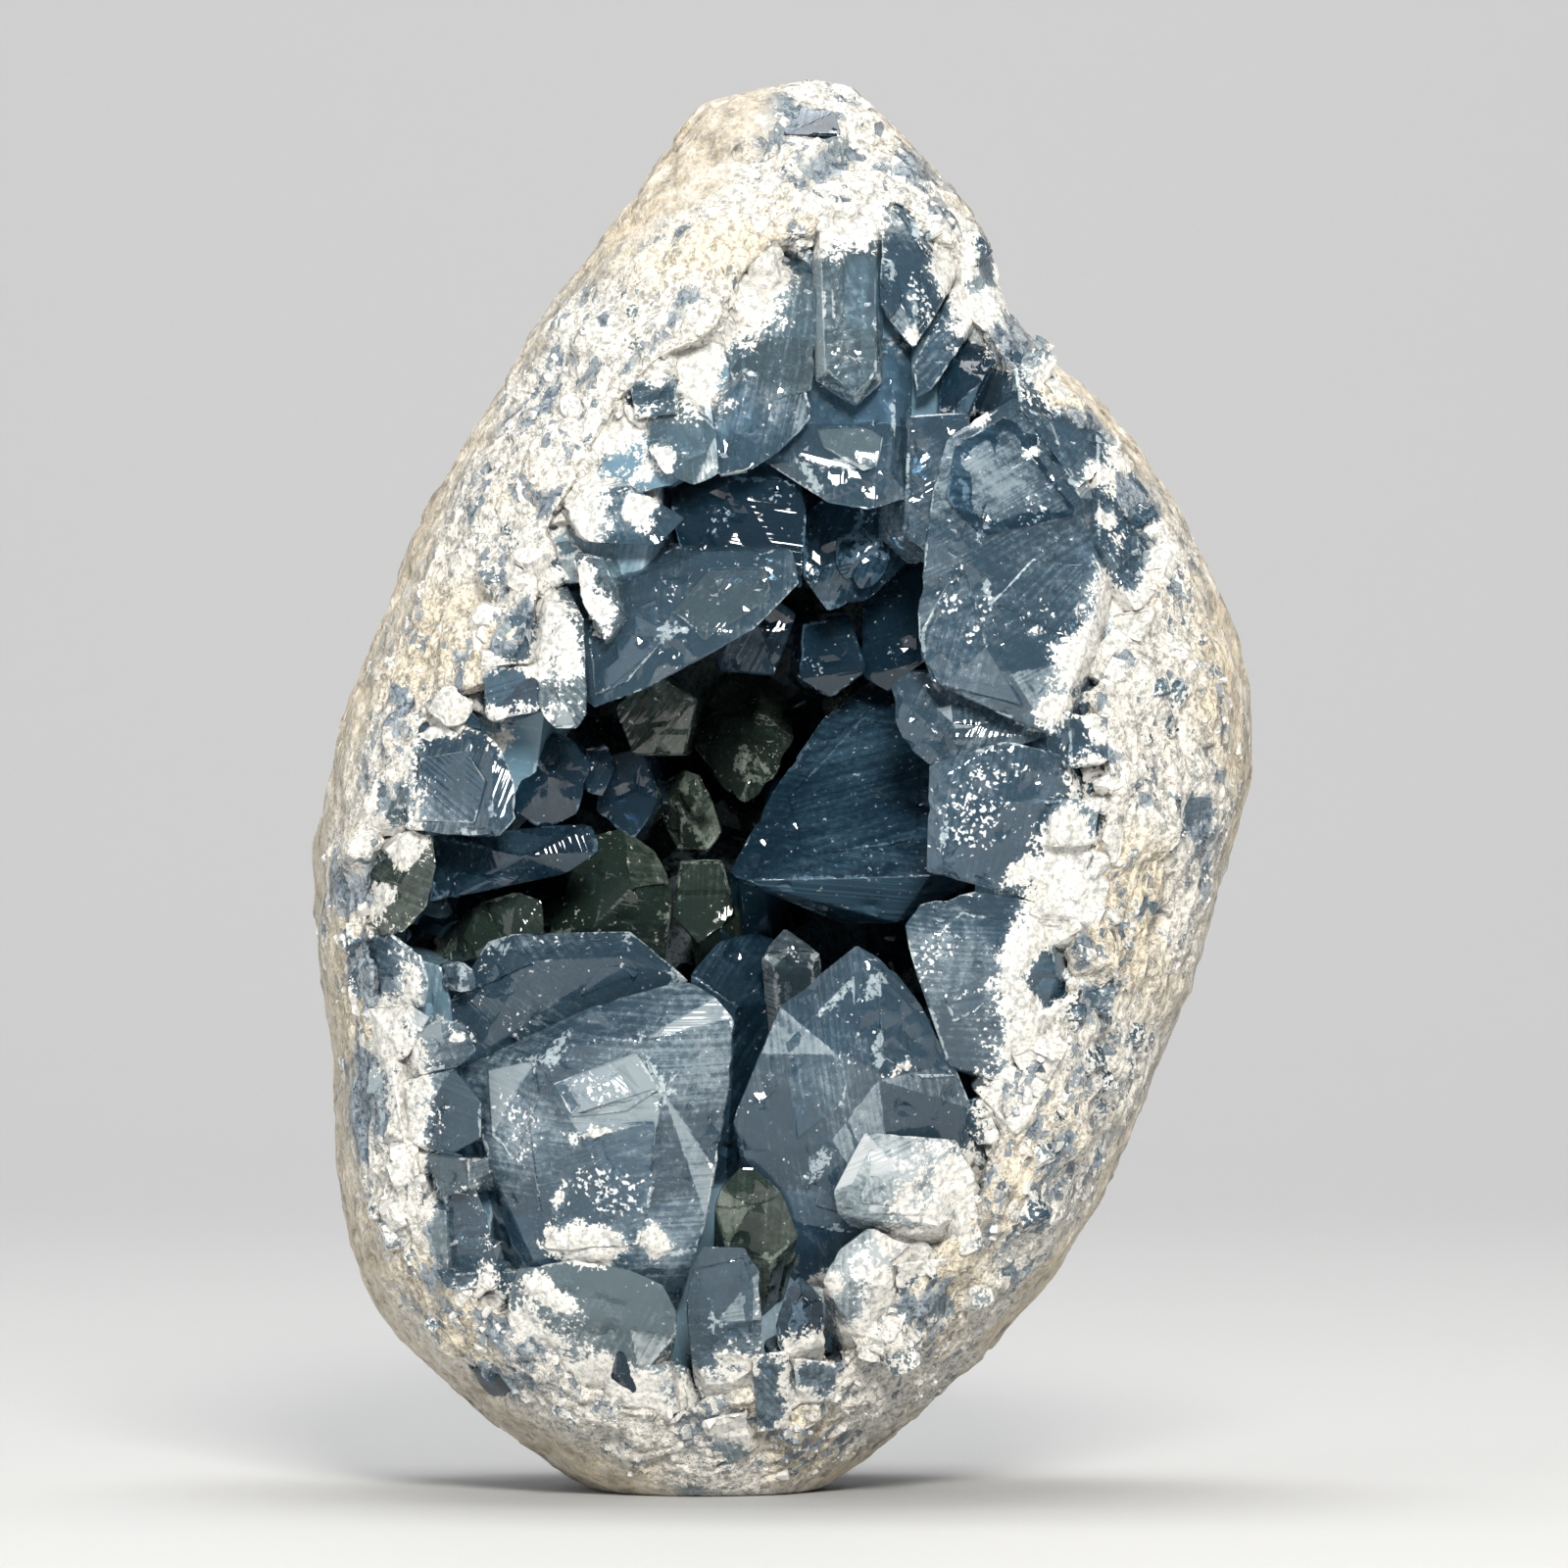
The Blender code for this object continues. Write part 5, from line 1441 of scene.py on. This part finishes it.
def facet_relief(points, facing, draw):
    """How far out the broken facets stand at each point, and a number for each facet."""
    spots = scattered(points, FACETS, draw)
    tree = KDTree(len(spots))
    planes = []
    for k, spot in enumerate(spots):
        tree.insert(points[spot], k)
        tilt = np.array([draw.gauss(0, 1) for _ in range(3)]) * FACET_TILT
        plane = facing[spot] + tilt
        planes.append(plane / np.linalg.norm(plane))
    tree.balance()
    found = np.array([[k for _, k, _ in tree.find_n(p, FACET_NEIGHBOURS)] for p in points.tolist()])
    planes = np.array(planes)[found]
    centres = points[np.array(spots)][found]
    along = np.maximum((planes * facing[:, None, :]).sum(axis=2), LEAST_FACING)
    height = ((centres - points[:, None, :]) * planes).sum(axis=2) / along
    return np.clip(np.median(height, axis=1), -FACET_LIMIT, FACET_LIMIT), found[:, 0] * GOLDEN_SHARE % 1


def rim_relief(points, along, streak, relief):
    """How far out the broken rim stands at each point: facets, lumps and ridges."""
    lumps = layered(points, "rim_lumps") + layered(along, "rim_ridges")
    return FACET_SHARE * relief + RIM_ROUGH * lumps + STREAK_RIDGES * np.abs(streak) - RIM_SINK


def skin_relief(points, streak):
    """How far out the weathered skin stands at each point: lumps, streaks and pits."""
    pits = smoothstep(*PIT_RANGE, layered(points, "skin_pits"))
    return SKIN_ROUGH * (layered(points, "skin_lumps") + SKIN_STREAKS * streak) - SKIN_PITS * pits


def lobe_relief(points):
    """How far out rounded lobes stand on the hollow's wall, close behind its mouth."""
    depth = front_depth(points)
    wall = smoothstep(*LOBE_START, depth) * (1 - smoothstep(*LOBE_END, depth)) * within_mouth(points)
    return wall * LOBES * smoothstep(*LOBE_RANGE, layered(points, "lobes"))


def dress_rind(node, name, material, draw):
    """The rind's front or back, with granular weathered skin and a rough, faceted rim."""
    obj = remeshed_rind(node, name)
    mesh = obj.data
    points, facing = coordinates(mesh) / MM, normals(mesh)
    skin = skin_share(points)
    relief, facet = facet_relief(points, facing, draw)
    along = drawn_along(points)
    streak = layered(along, "streaks")
    out = skin * skin_relief(points, streak) + (1 - skin) * rim_relief(points, along, streak, relief)
    out = (out + lobe_relief(points)) * np.clip(points[:, 2] / FOOT_FADE, 0.0, 1.0)
    moved = points + facing * out[:, None]
    moved[:, 2] = np.maximum(moved[:, 2], 0.0)
    low, high = points.min(axis=0), points.max(axis=0)
    moved = np.clip(moved, low - (*RELIEF_REACH, 0.0), high + (*RELIEF_REACH, RELIEF_TOP))
    set_coordinates(mesh, moved * MM)
    place = ragged(points)
    window = layered(along, "windows") + FACET_WINDOWS * facet
    window += BLUE_WINDOWS * patch_share(place, BLUE_PATCHES) * (facing[:, 1] < 0)
    window -= CREAM_WINDOWS * patch_share(place, CREAM_PATCHES)
    set_number(mesh, "skin", skin)
    # The painted shade of the hollow's wall
    set_number(mesh, "hollow", hollow_shade_share(points, facing))
    set_number(mesh, "window", window)
    set_number(mesh, "streak", streak)
    set_number(mesh, "broad", layered(points, "broad"))
    mesh.shade_smooth()
    mesh.set_sharp_from_angle(angle=RIND_SHARP_ANGLE)
    mesh.materials.clear()
    mesh.materials.append(material)
    return obj


def grain_spots(rind, draw):
    """Places on the rind's rim, drawn at random, with the way out from each."""
    mesh = rind.data
    points, facing = coordinates(mesh) / MM, normals(mesh)
    skin, hollow = (np.empty(len(points), dtype=np.float32) for _ in range(2))
    mesh.attributes["skin"].data.foreach_get("value", skin)
    mesh.attributes["hollow"].data.foreach_get("value", hollow)
    bare = patch_share(ragged(points), BLUE_PATCHES)
    rim = (skin < GRAIN_MOST_SKIN) & (hollow < GRAIN_MOST_HOLLOW) & (bare < GRAIN_MOST_BARE)
    wanted = np.flatnonzero(rim & (points[:, 1] < GRAIN_BACK_Y) & (points[:, 2] > GRAIN_LOWEST))
    for k in draw.choices(wanted.tolist(), k=GRAINS):
        yield Vector(points[k]), Vector(facing[k])


def rim_crystals(rind, piles, draw):
    """Crystals that stand in the rim round the mouth, partly under its crust."""
    mesh = rind.data
    points, facing = coordinates(mesh) / MM, normals(mesh)
    edge = mouth_distance(points)
    rim = (facing[:, 1] < RIM_FACING) & (points[:, 2] > RIM_LOWEST) & (skin_share(points) < RIM_SKIN)
    wanted = np.flatnonzero((edge < RIM_BAND) & rim)
    for k in draw.choices(wanted.tolist(), k=RIM_CRYSTALS):
        spot, out = Vector(points[k]), Vector(facing[k])
        size = mostly_small(RIM_CRYSTAL_SIZE, RIM_SMALLNESS, draw)
        inward = Vector((MOUTH_CENTRE[0] - spot.x, 0.0, MOUTH_CENTRE[1] - spot.z)).normalized()
        axis = (inward + RIM_OUTWARD * out + drawn_lean(draw, RIM_LEAN)).normalized()
        middle = spot - RIM_CRYSTAL_SINK * size * out
        half = 0.5 * size * axis
        width = size * draw.uniform(*RIM_WIDTH)
        bm = turned_crystal(middle - half, middle + half, width, FLATNESS * width, BLUNT_ENDS, draw)
        outward, far = faces_of(bm)
        bevelled(bm)
        moved, triangles, numbers = finished(bm, outward, far, RIM_CRYSTAL_EDGE, draw)
        look = drawn_look(RIM_LOOKS, draw)
        bare = patch_share(ragged(moved), BLUE_PATCHES)
        uneven = rough(moved, RIM_COVER_SIZE, draw.uniform(*ANY_NOISE))
        cover = RIM_COVER + RIM_COVER_ROUGH * uneven - RIM_BARE * bare
        numbers["crust"] = np.clip(np.maximum(numbers["crust"], cover), 0, 1)
        piles[look].add(moved, triangles, tone=draw.random(), **numbers)


def grains(rind, piles, draw):
    """Small broken crystals sunk in the rim."""
    for spot, out in grain_spots(rind, draw):
        size = mostly_small(GRAIN_SIZE, GRAIN_SMALLNESS, draw)
        lean = drawn_lean(draw, 1).normalized()
        axis = (lean - GRAIN_LAID_FLAT * lean.dot(out) * out).normalized()
        middle = spot - GRAIN_SINK * size * out
        half = 0.5 * size * axis
        width = size * draw.uniform(*GRAIN_WIDTH)
        thickness = width * draw.uniform(*GRAIN_FLATNESS)
        bm = turned_crystal(middle - half, middle + half, width, thickness, GRAIN_BLUNT_ENDS, draw)
        look = drawn_look(GRAIN_LOOKS, draw)
        piles[look].add_bmesh(bm, tone=draw.random())


# Materials


class Paint:
    """Short ways to add nodes to one material."""

    def __init__(self, name):
        self.material = bpy.data.materials.new(name)
        self.material.use_nodes = True
        self.tree = self.material.node_tree
        self.shader = self.tree.nodes["Principled BSDF"]
        self.place = self.new("ShaderNodeTexCoord").outputs["Object"]

    def new(self, kind, **settings):
        node = self.tree.nodes.new(kind)
        for key, value in settings.items():
            setattr(node, key, value)
        return node

    def put(self, socket, value):
        if isinstance(value, bpy.types.NodeSocket):
            self.tree.links.new(value, socket)
        else:
            socket.default_value = value

    def stretched(self, scale, turn=(0.0, 0.0, 0.0)):
        node = self.new("ShaderNodeMapping")
        self.put(node.inputs["Vector"], self.place)
        node.inputs["Scale"].default_value = scale
        node.inputs["Rotation"].default_value = turn
        return node.outputs["Vector"]

    def noise(self, size, detail, roughness):
        node = self.new("ShaderNodeTexNoise")
        self.put(node.inputs["Vector"], self.place)
        node.inputs["Scale"].default_value = 1 / (size * MM)
        node.inputs["Detail"].default_value = detail
        node.inputs["Roughness"].default_value = roughness
        return node.outputs["Fac"]

    def lines(self, place, size):
        """Parallel growth lines across a coordinate in millimetres."""
        node = self.new("ShaderNodeTexNoise", noise_dimensions="1D")
        self.put(node.inputs["W"], place)
        node.inputs["Scale"].default_value = 1 / size
        node.inputs["Detail"].default_value = 1.0
        return node.outputs["Fac"]

    def facets(self, size, at=None):
        """Angular grains: a random number for each, and the height of its tilted face."""
        at = at or self.place
        node = self.new("ShaderNodeTexVoronoi")
        self.put(node.inputs["Vector"], at)
        node.inputs["Scale"].default_value = 1 / (size * MM)
        offset = self.new("ShaderNodeVectorMath", operation="SUBTRACT")
        self.put(offset.inputs[0], at)
        self.put(offset.inputs[1], node.outputs["Position"])
        tilt = self.new("ShaderNodeVectorMath", operation="SUBTRACT")
        self.put(tilt.inputs[0], node.outputs["Color"])
        tilt.inputs[1].default_value = (0.5, 0.5, 0.5)
        height = self.new("ShaderNodeVectorMath", operation="DOT_PRODUCT")
        self.put(height.inputs[0], offset.outputs[0])
        self.put(height.inputs[1], tilt.outputs[0])
        parts = self.new("ShaderNodeSeparateColor")
        self.put(parts.inputs[0], node.outputs["Color"])
        return parts.outputs[0], self.sum("MULTIPLY", height.outputs["Value"], 1 / (size * MM))

    def ramp(self, value, low, high, start=0.0, end=1.0):
        node = self.new("ShaderNodeMapRange", interpolation_type="SMOOTHSTEP")
        self.put(node.inputs["Value"], value)
        for key, number in (("From Min", low), ("From Max", high), ("To Min", start), ("To Max", end)):
            self.put(node.inputs[key], number)
        return node.outputs["Result"]

    def sum(self, operation, a, b):
        node = self.new("ShaderNodeMath", operation=operation)
        self.put(node.inputs[0], a)
        self.put(node.inputs[1], b)
        return node.outputs[0]

    def mix(self, share, a, b):
        node = self.new("ShaderNodeMix", data_type="RGBA")
        self.put(node.inputs["Factor"], share)
        self.put(node.inputs[6], a if isinstance(a, bpy.types.NodeSocket) else (*a, 1.0))
        self.put(node.inputs[7], b if isinstance(b, bpy.types.NodeSocket) else (*b, 1.0))
        return node.outputs[2]

    def number(self, name):
        return self.new("ShaderNodeAttribute", attribute_name=name).outputs["Fac"]

    def bump(self, height, strength, distance):
        node = self.new("ShaderNodeBump")
        self.put(node.inputs["Height"], height)
        node.inputs["Strength"].default_value = strength
        node.inputs["Distance"].default_value = distance * MM
        return node.outputs["Normal"]

    def set(self, **values):
        for key, value in values.items():
            self.put(self.shader.inputs[key.replace("_", " ")], value)


# The rind's colours, dark and light
STONE_WHITE = (0.40, 0.40, 0.37), (0.96, 0.92, 0.83)
STONE_CREAM = (0.40, 0.35, 0.27), (0.94, 0.85, 0.67)
STONE_BLUE = (0.07, 0.11, 0.15), (0.37, 0.43, 0.47)
STONE_SKIN = (0.50, 0.44, 0.34), (0.64, 0.54, 0.38)
# The hollow's wall: dark blue-grey, a painted shade
STONE_WALL_SHADE = (0.03, 0.05, 0.055), (0.14, 0.19, 0.21)
SKIN_GRAIN = (0.80, 0.73, 0.60)
SKIN_CHALK = (0.86, 0.82, 0.74)
SKIN_DIRT = (0.27, 0.24, 0.20)
SKIN_CHIPS = (0.22, 0.22, 0.21)


def stone_material():
    """Beige weathered skin, granular white broken rim with blue-grey windows, and the hollow's wall painted
    dark as shade.
    """
    p = Paint("geode_matrix")
    skin, broad, streak = p.number("skin"), p.number("broad"), p.number("streak")
    fine = p.noise(0.7, 3.0, 0.75)
    kind, height = p.facets(0.9, p.stretched((1, 1, 0.7), (0, 0.4, 0)))
    light = p.sum("ADD", p.ramp(fine, 0.36, 0.58), p.sum("MULTIPLY", streak, 0.4))
    white = p.mix(light, *STONE_WHITE)
    white = p.mix(p.ramp(broad, 0.0, 0.5), white, p.mix(light, *STONE_CREAM))
    blue = p.mix(p.sum("MULTIPLY", light, p.ramp(kind, 0.0, 1.0, 0.5, 1.3)), *STONE_BLUE)
    window = p.sum("ADD", p.number("window"), p.ramp(fine, 0.3, 0.7, -0.4, 0.4))
    level = p.ramp(window, -0.1, 1.0, 0.02, 1.1)
    bluish = p.ramp(p.sum("SUBTRACT", kind, level), -0.06, 0.04, 1.0, 0.0)
    rim = p.mix(bluish, white, blue)
    worn_skin = p.mix(p.ramp(broad, -0.4, 0.4), *STONE_SKIN)
    worn_skin = p.mix(p.sum("MULTIPLY", light, 0.6), worn_skin, SKIN_GRAIN)
    mottle = p.noise(3.2, 4.0, 0.72)
    worn_skin = p.mix(p.ramp(mottle, 0.50, 0.64, 0.0, 0.8), worn_skin, SKIN_CHALK)
    worn_skin = p.mix(p.ramp(mottle, 0.34, 0.46, 0.75, 0.0), worn_skin, SKIN_DIRT)
    dark = p.ramp(p.sum("SUBTRACT", kind, p.sum("MULTIPLY", fine, 0.35)), -0.16, -0.06, 0.5, 0.0)
    worn_skin = p.mix(dark, worn_skin, SKIN_CHIPS)
    # Painted shade on the hollow's wall, strongest deepest in the hollow
    wall = p.mix(light, *STONE_WALL_SHADE)
    colour = p.mix(skin, rim, worn_skin)
    colour = p.mix(p.number("hollow"), colour, wall)
    gloss = p.ramp(p.sum("SUBTRACT", bluish, skin), 0.3, 0.9, 0.0, 1.0)
    rough_now = p.ramp(gloss, 0.0, 1.0, 0.7, 0.22)
    relief = p.sum("ADD", p.sum("MULTIPLY", height, 1.2), p.sum("MULTIPLY", fine, 0.6))
    relief = p.sum("ADD", relief, p.sum("MULTIPLY", mottle, 1.6))
    p.set(Base_Color=colour, Roughness=rough_now, Normal=p.bump(relief, 0.7, 0.7))
    return p.material


# For each look: pale and body colour; the share that shines through and the roughness, at hazy and
# at clear places; the colour that light takes on inside, and how strongly
CRYSTAL_PAINTS = {
    "clear": ((0.66, 0.78, 0.82), (0.37, 0.55, 0.65), (0.56, 0.88), (0.10, 0.02), (0.50, 0.71, 0.85), 28),
    "hazy": ((0.58, 0.70, 0.76), (0.20, 0.38, 0.53), (0.52, 0.85), (0.12, 0.03), (0.40, 0.63, 0.82), 52),
    "cloudy": ((0.40, 0.52, 0.60), (0.16, 0.29, 0.38), (0.0, 0.05), (0.45, 0.25), (0.36, 0.63, 0.79), 0),
    "deep": ((0.08, 0.165, 0.24), (0.025, 0.075, 0.125), (0.4, 0.7), (0.1, 0.03), (0.16, 0.42, 0.62), 80),
    "frosted": ((0.76, 0.83, 0.85), (0.34, 0.50, 0.58), (0.35, 0.75), (0.25, 0.08), (0.44, 0.68, 0.80), 40),
    "green": ((0.25, 0.31, 0.26), (0.07, 0.12, 0.10), (0.45, 0.75), (0.12, 0.04), (0.36, 0.56, 0.46), 60),
}


def crystal_material(look):
    """See-through crystal with cloudy veils, growth lines, etched faces, painted glints and painted
    highlights along the edges.
    """
    pale, body, through, roughness, absorbed, density = CRYSTAL_PAINTS[look]
    p = Paint("celestite_" + look)
    fine = p.noise(0.6, 2.0, 0.7)
    kind = p.facets(0.36)[0]
    lines = p.lines(p.number("line"), 0.45)
    haze, etched, glitter = p.number("haze"), p.number("etched"), p.number("glitter")
    tone = p.ramp(p.number("tone"), 0.0, 1.0, -0.12, 0.12)
    cloud = p.sum("ADD", p.sum("ADD", haze, tone), p.sum("MULTIPLY", etched, 0.5))
    cloud = p.sum("ADD", cloud, p.ramp(fine, 0.35, 0.7, -0.10, 0.12))
    cloud = p.sum("ADD", cloud, p.ramp(lines, 0.30, 0.70, -0.09, 0.10))
    cloud = p.ramp(p.sum("ADD", cloud, p.sum("MULTIPLY", p.number("crust"), 0.6)), 0.15, 1.1)
    # Painted glints: white flecks that let less light through, standing in for sparkles of light
    painted_glints = p.sum("ADD", kind, p.sum("MULTIPLY", glitter, 0.42))
    painted_glints = p.ramp(p.sum("ADD", painted_glints, fine), 1.65, 1.69)
    # Painted highlights along the edges: a paler colour that lets less light through
    edges = p.ramp(p.sum("ADD", p.number("edge"), p.ramp(fine, 0.3, 0.7, -0.15, 0.15)), 0.8, 1.0, 0.0, 0.6)
    edge = p.sum("ADD", p.number("crust"), p.ramp(fine, 0.3, 0.7, -0.25, 0.25))
    covered = p.ramp(p.sum("SUBTRACT", edge, p.sum("MULTIPLY", kind, 0.45)), 0.15, 0.3)
    white = p.mix(p.ramp(fine, 0.32, 0.60), (0.50, 0.52, 0.50), (0.95, 0.92, 0.85))
    colour = p.mix(cloud, body, pale)
    colour = p.mix(edges, colour, [min(0.9, 1.3 * part + 0.06) for part in pale])
    colour = p.mix(painted_glints, colour, [min(0.94, 1.15 * part + 0.24) for part in pale])
    rough_now = p.ramp(cloud, 0.0, 1.0, roughness[1], roughness[0])
    rough_now = p.sum("ADD", rough_now, p.sum("MULTIPLY", covered, 0.5))
    rough_now = p.sum("ADD", rough_now, p.sum("MULTIPLY", etched, 0.15))
    # Less light is let through under the painted glints and the painted edge highlights
    bright = p.ramp(p.sum("MAXIMUM", painted_glints, edges), 0.0, 1.0, 1.0, 0.2)
    through_now = p.sum("MULTIPLY", p.ramp(cloud, 0.0, 1.0, through[1], through[0]), bright)
    relief = p.sum("MULTIPLY", lines, p.ramp(etched, 0.0, 1.0, 0.10, 0.4))
    p.set(
        Base_Color=p.mix(covered, colour, white),
        Roughness=rough_now,
        Transmission_Weight=p.sum("MULTIPLY", through_now, p.ramp(covered, 0.0, 1.0, 1.0, 0.1)),
        IOR=IOR,
        Normal=p.bump(relief, 0.6, 0.4),
    )
    if density:
        inner = p.new("ShaderNodeVolumeAbsorption")
        inner.inputs["Color"].default_value = (*absorbed, 1.0)
        inner.inputs["Density"].default_value = density
        p.tree.links.new(inner.outputs["Volume"], p.tree.nodes["Material Output"].inputs["Volume"])
    return p.material


# For each grain: dark and light colour, the share that shines through, and roughness
GRAIN_PAINTS = {
    "white_grain": ((0.72, 0.70, 0.66), (0.92, 0.90, 0.86), 0.1, (0.35, 0.7)),
    "blue_grain": ((0.42, 0.52, 0.62), (0.70, 0.78, 0.85), 0.6, (0.08, 0.4)),
    "grey_grain": ((0.45, 0.48, 0.50), (0.75, 0.78, 0.80), 0.5, (0.08, 0.4)),
}
FROST = (0.9, 0.9, 0.88)


def grain_material(name, low, high, through, roughness):
    """One kind of grain on the rim: opaque white, or half clear blue or grey."""
    p = Paint(name)
    colour = p.mix(p.number("tone"), low, high)
    frost = p.ramp(p.noise(0.9, 3.0, 0.6), 0.42, 0.6)
    colour = p.mix(p.sum("MULTIPLY", frost, 0.6), colour, FROST)
    ground = p.bump(p.noise(0.5, 3.0, 0.7), 0.4, 0.15)
    p.set(
        Base_Color=colour,
        Roughness=p.ramp(frost, 0.0, 1.0, roughness[0], roughness[1]),
        Transmission_Weight=p.ramp(frost, 0.0, 1.0, through, through * 0.4),
        IOR=IOR,
        Normal=ground,
    )
    return p.material


def plain_material(name, colour, roughness):
    p = Paint(name)
    p.set(Base_Color=(*colour, 1.0), Roughness=roughness)
    return p.material


# Stage


def floor_profile():
    """The floor's y and z, from its front edge to the top of the backdrop."""
    for k in range(FLOOR_ROWS):
        yield FLOOR_FRONT_Y + (BEND_START_Y - FLOOR_FRONT_Y) * k / FLOOR_ROWS, 0.0
    for k in range(BEND_ROWS + 1):
        turn = math.pi / 2 * k / BEND_ROWS
        yield BEND_START_Y + BEND_RADIUS * math.sin(turn), BEND_RADIUS * (1 - math.cos(turn))
    for k in range(1, WALL_ROWS + 1):
        yield BEND_START_Y + BEND_RADIUS, BEND_RADIUS + k * WALL_ROW_HEIGHT


def make_stage():
    """A pale floor that curves up into a backdrop."""
    bm = bmesh.new()
    sides = (-FLOOR_HALF_WIDTH, FLOOR_HALF_WIDTH)
    rows = [[bm.verts.new((x, y, z)) for x in sides] for y, z in floor_profile()]
    for low, high in zip(rows, rows[1:]):
        bm.faces.new((low[0], low[1], high[1], high[0]))
    mesh = bpy.data.meshes.new("floor")
    bm.to_mesh(mesh)
    bm.free()
    mesh.shade_smooth()
    floor = bpy.data.objects.new("floor", mesh)
    bpy.context.scene.collection.objects.link(floor)
    mesh.materials.append(plain_material("pale_floor", (0.72, 0.72, 0.71), 0.6))


def area_light(name, place, size, power, colour=(1.0, 1.0, 1.0), aim=(0.0, 0.0, 0.075)):
    light = bpy.data.lights.new(name, "AREA")
    light.shape = "RECTANGLE"
    light.size, light.size_y = size
    light.energy = power
    light.color = colour
    obj = bpy.data.objects.new(name, light)
    obj.location = place
    obj.rotation_mode = "QUATERNION"
    obj.rotation_quaternion = (Vector(aim) - Vector(place)).to_track_quat("-Z", "Y")
    bpy.context.scene.collection.objects.link(obj)


def make_lights():
    area_light("key", (0.10, -1.02, 0.55), (0.24, 0.24), 13.0, (1.0, 0.97, 0.92))
    area_light("fill", (-1.1, -0.7, 0.40), (1.2, 1.2), 4.5, (0.95, 0.98, 1.0))
    area_light("top", (0.05, 0.1, 0.9), (0.5, 0.4), 3.0)
    area_light("backdrop", (0.0, 0.6, 1.6), (1.6, 0.6), 15.0, aim=(0.0, 1.6, 0.3))
    world = bpy.data.worlds.new("studio")
    world.use_nodes = True
    background = world.node_tree.nodes["Background"]
    background.inputs["Color"].default_value = (0.85, 0.9, 1.0, 1.0)
    background.inputs["Strength"].default_value = 0.16
    bpy.context.scene.world = world


def make_camera():
    """Level with the geode's middle, far off with a long lens, straight in front."""
    data = bpy.data.cameras.new("camera")
    data.sensor_width = SENSOR_WIDTH
    data.lens = LENS
    camera = bpy.data.objects.new("camera", data)
    distance = FRAME_WIDTH * data.lens / data.sensor_width * MM
    camera.location = (0.0, AXIS_Y * MM - distance, FRAME_MIDDLE_Z * MM)
    camera.rotation_euler = (math.pi / 2, 0.0, 0.0)
    data.clip_start, data.clip_end = 0.05, 20.0
    bpy.context.scene.collection.objects.link(camera)
    bpy.context.scene.camera = camera


def settle_render():
    """Plain colours, and no more bounces of light than the crystals need."""
    scene = bpy.context.scene
    scene.view_settings.view_transform = "Standard"
    scene.cycles.max_bounces = 4
    scene.cycles.transmission_bounces = 4
    scene.cycles.glossy_bounces = 2
    scene.cycles.diffuse_bounces = 1
    scene.cycles.caustics_reflective = False
    scene.cycles.use_denoising = True


def show(piles, materials, prefix):
    """Turns each pile into pieces that stand for the crust of crystals."""
    for look, pile in piles.items():
        for k, share in enumerate(pile.shares()):
            obj = joined(share, f"{prefix}{look}_{k + 1}" if k else prefix + look, materials[look])
            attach(obj, "root")
            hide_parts("crystal_crust")


def main():
    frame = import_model()
    stone = stone_material()
    for name in RIND_VOXELS:
        half = dress_rind(frame["nodes"]["rind"], name, stone, random.Random(5))
        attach(half, "root")
        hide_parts("rind")
    rind = bpy.data.objects["rind_front"]
    room = new_object("room", make_room(ROOT_CLEARANCE))
    piles = large_crystals(room, random.Random(11))
    small = {look: Pile() for look in CRYSTAL_PAINTS}
    druse(small, random.Random(23))
    fringe(room, small, random.Random(53))
    rim_crystals(rind, small, random.Random(41))
    bpy.data.objects.remove(room)
    crystal_materials = {look: crystal_material(look) for look in CRYSTAL_PAINTS}
    show(piles, crystal_materials, "crystals_")
    show(small, crystal_materials, "druse_")
    rim = {look: Pile() for look in GRAIN_PAINTS}
    grains(rind, rim, random.Random(31))
    show(rim, {look: grain_material(look, *paint) for look, paint in GRAIN_PAINTS.items()}, "rim_")
    make_stage()
    make_lights()
    make_camera()
    settle_render()


main()
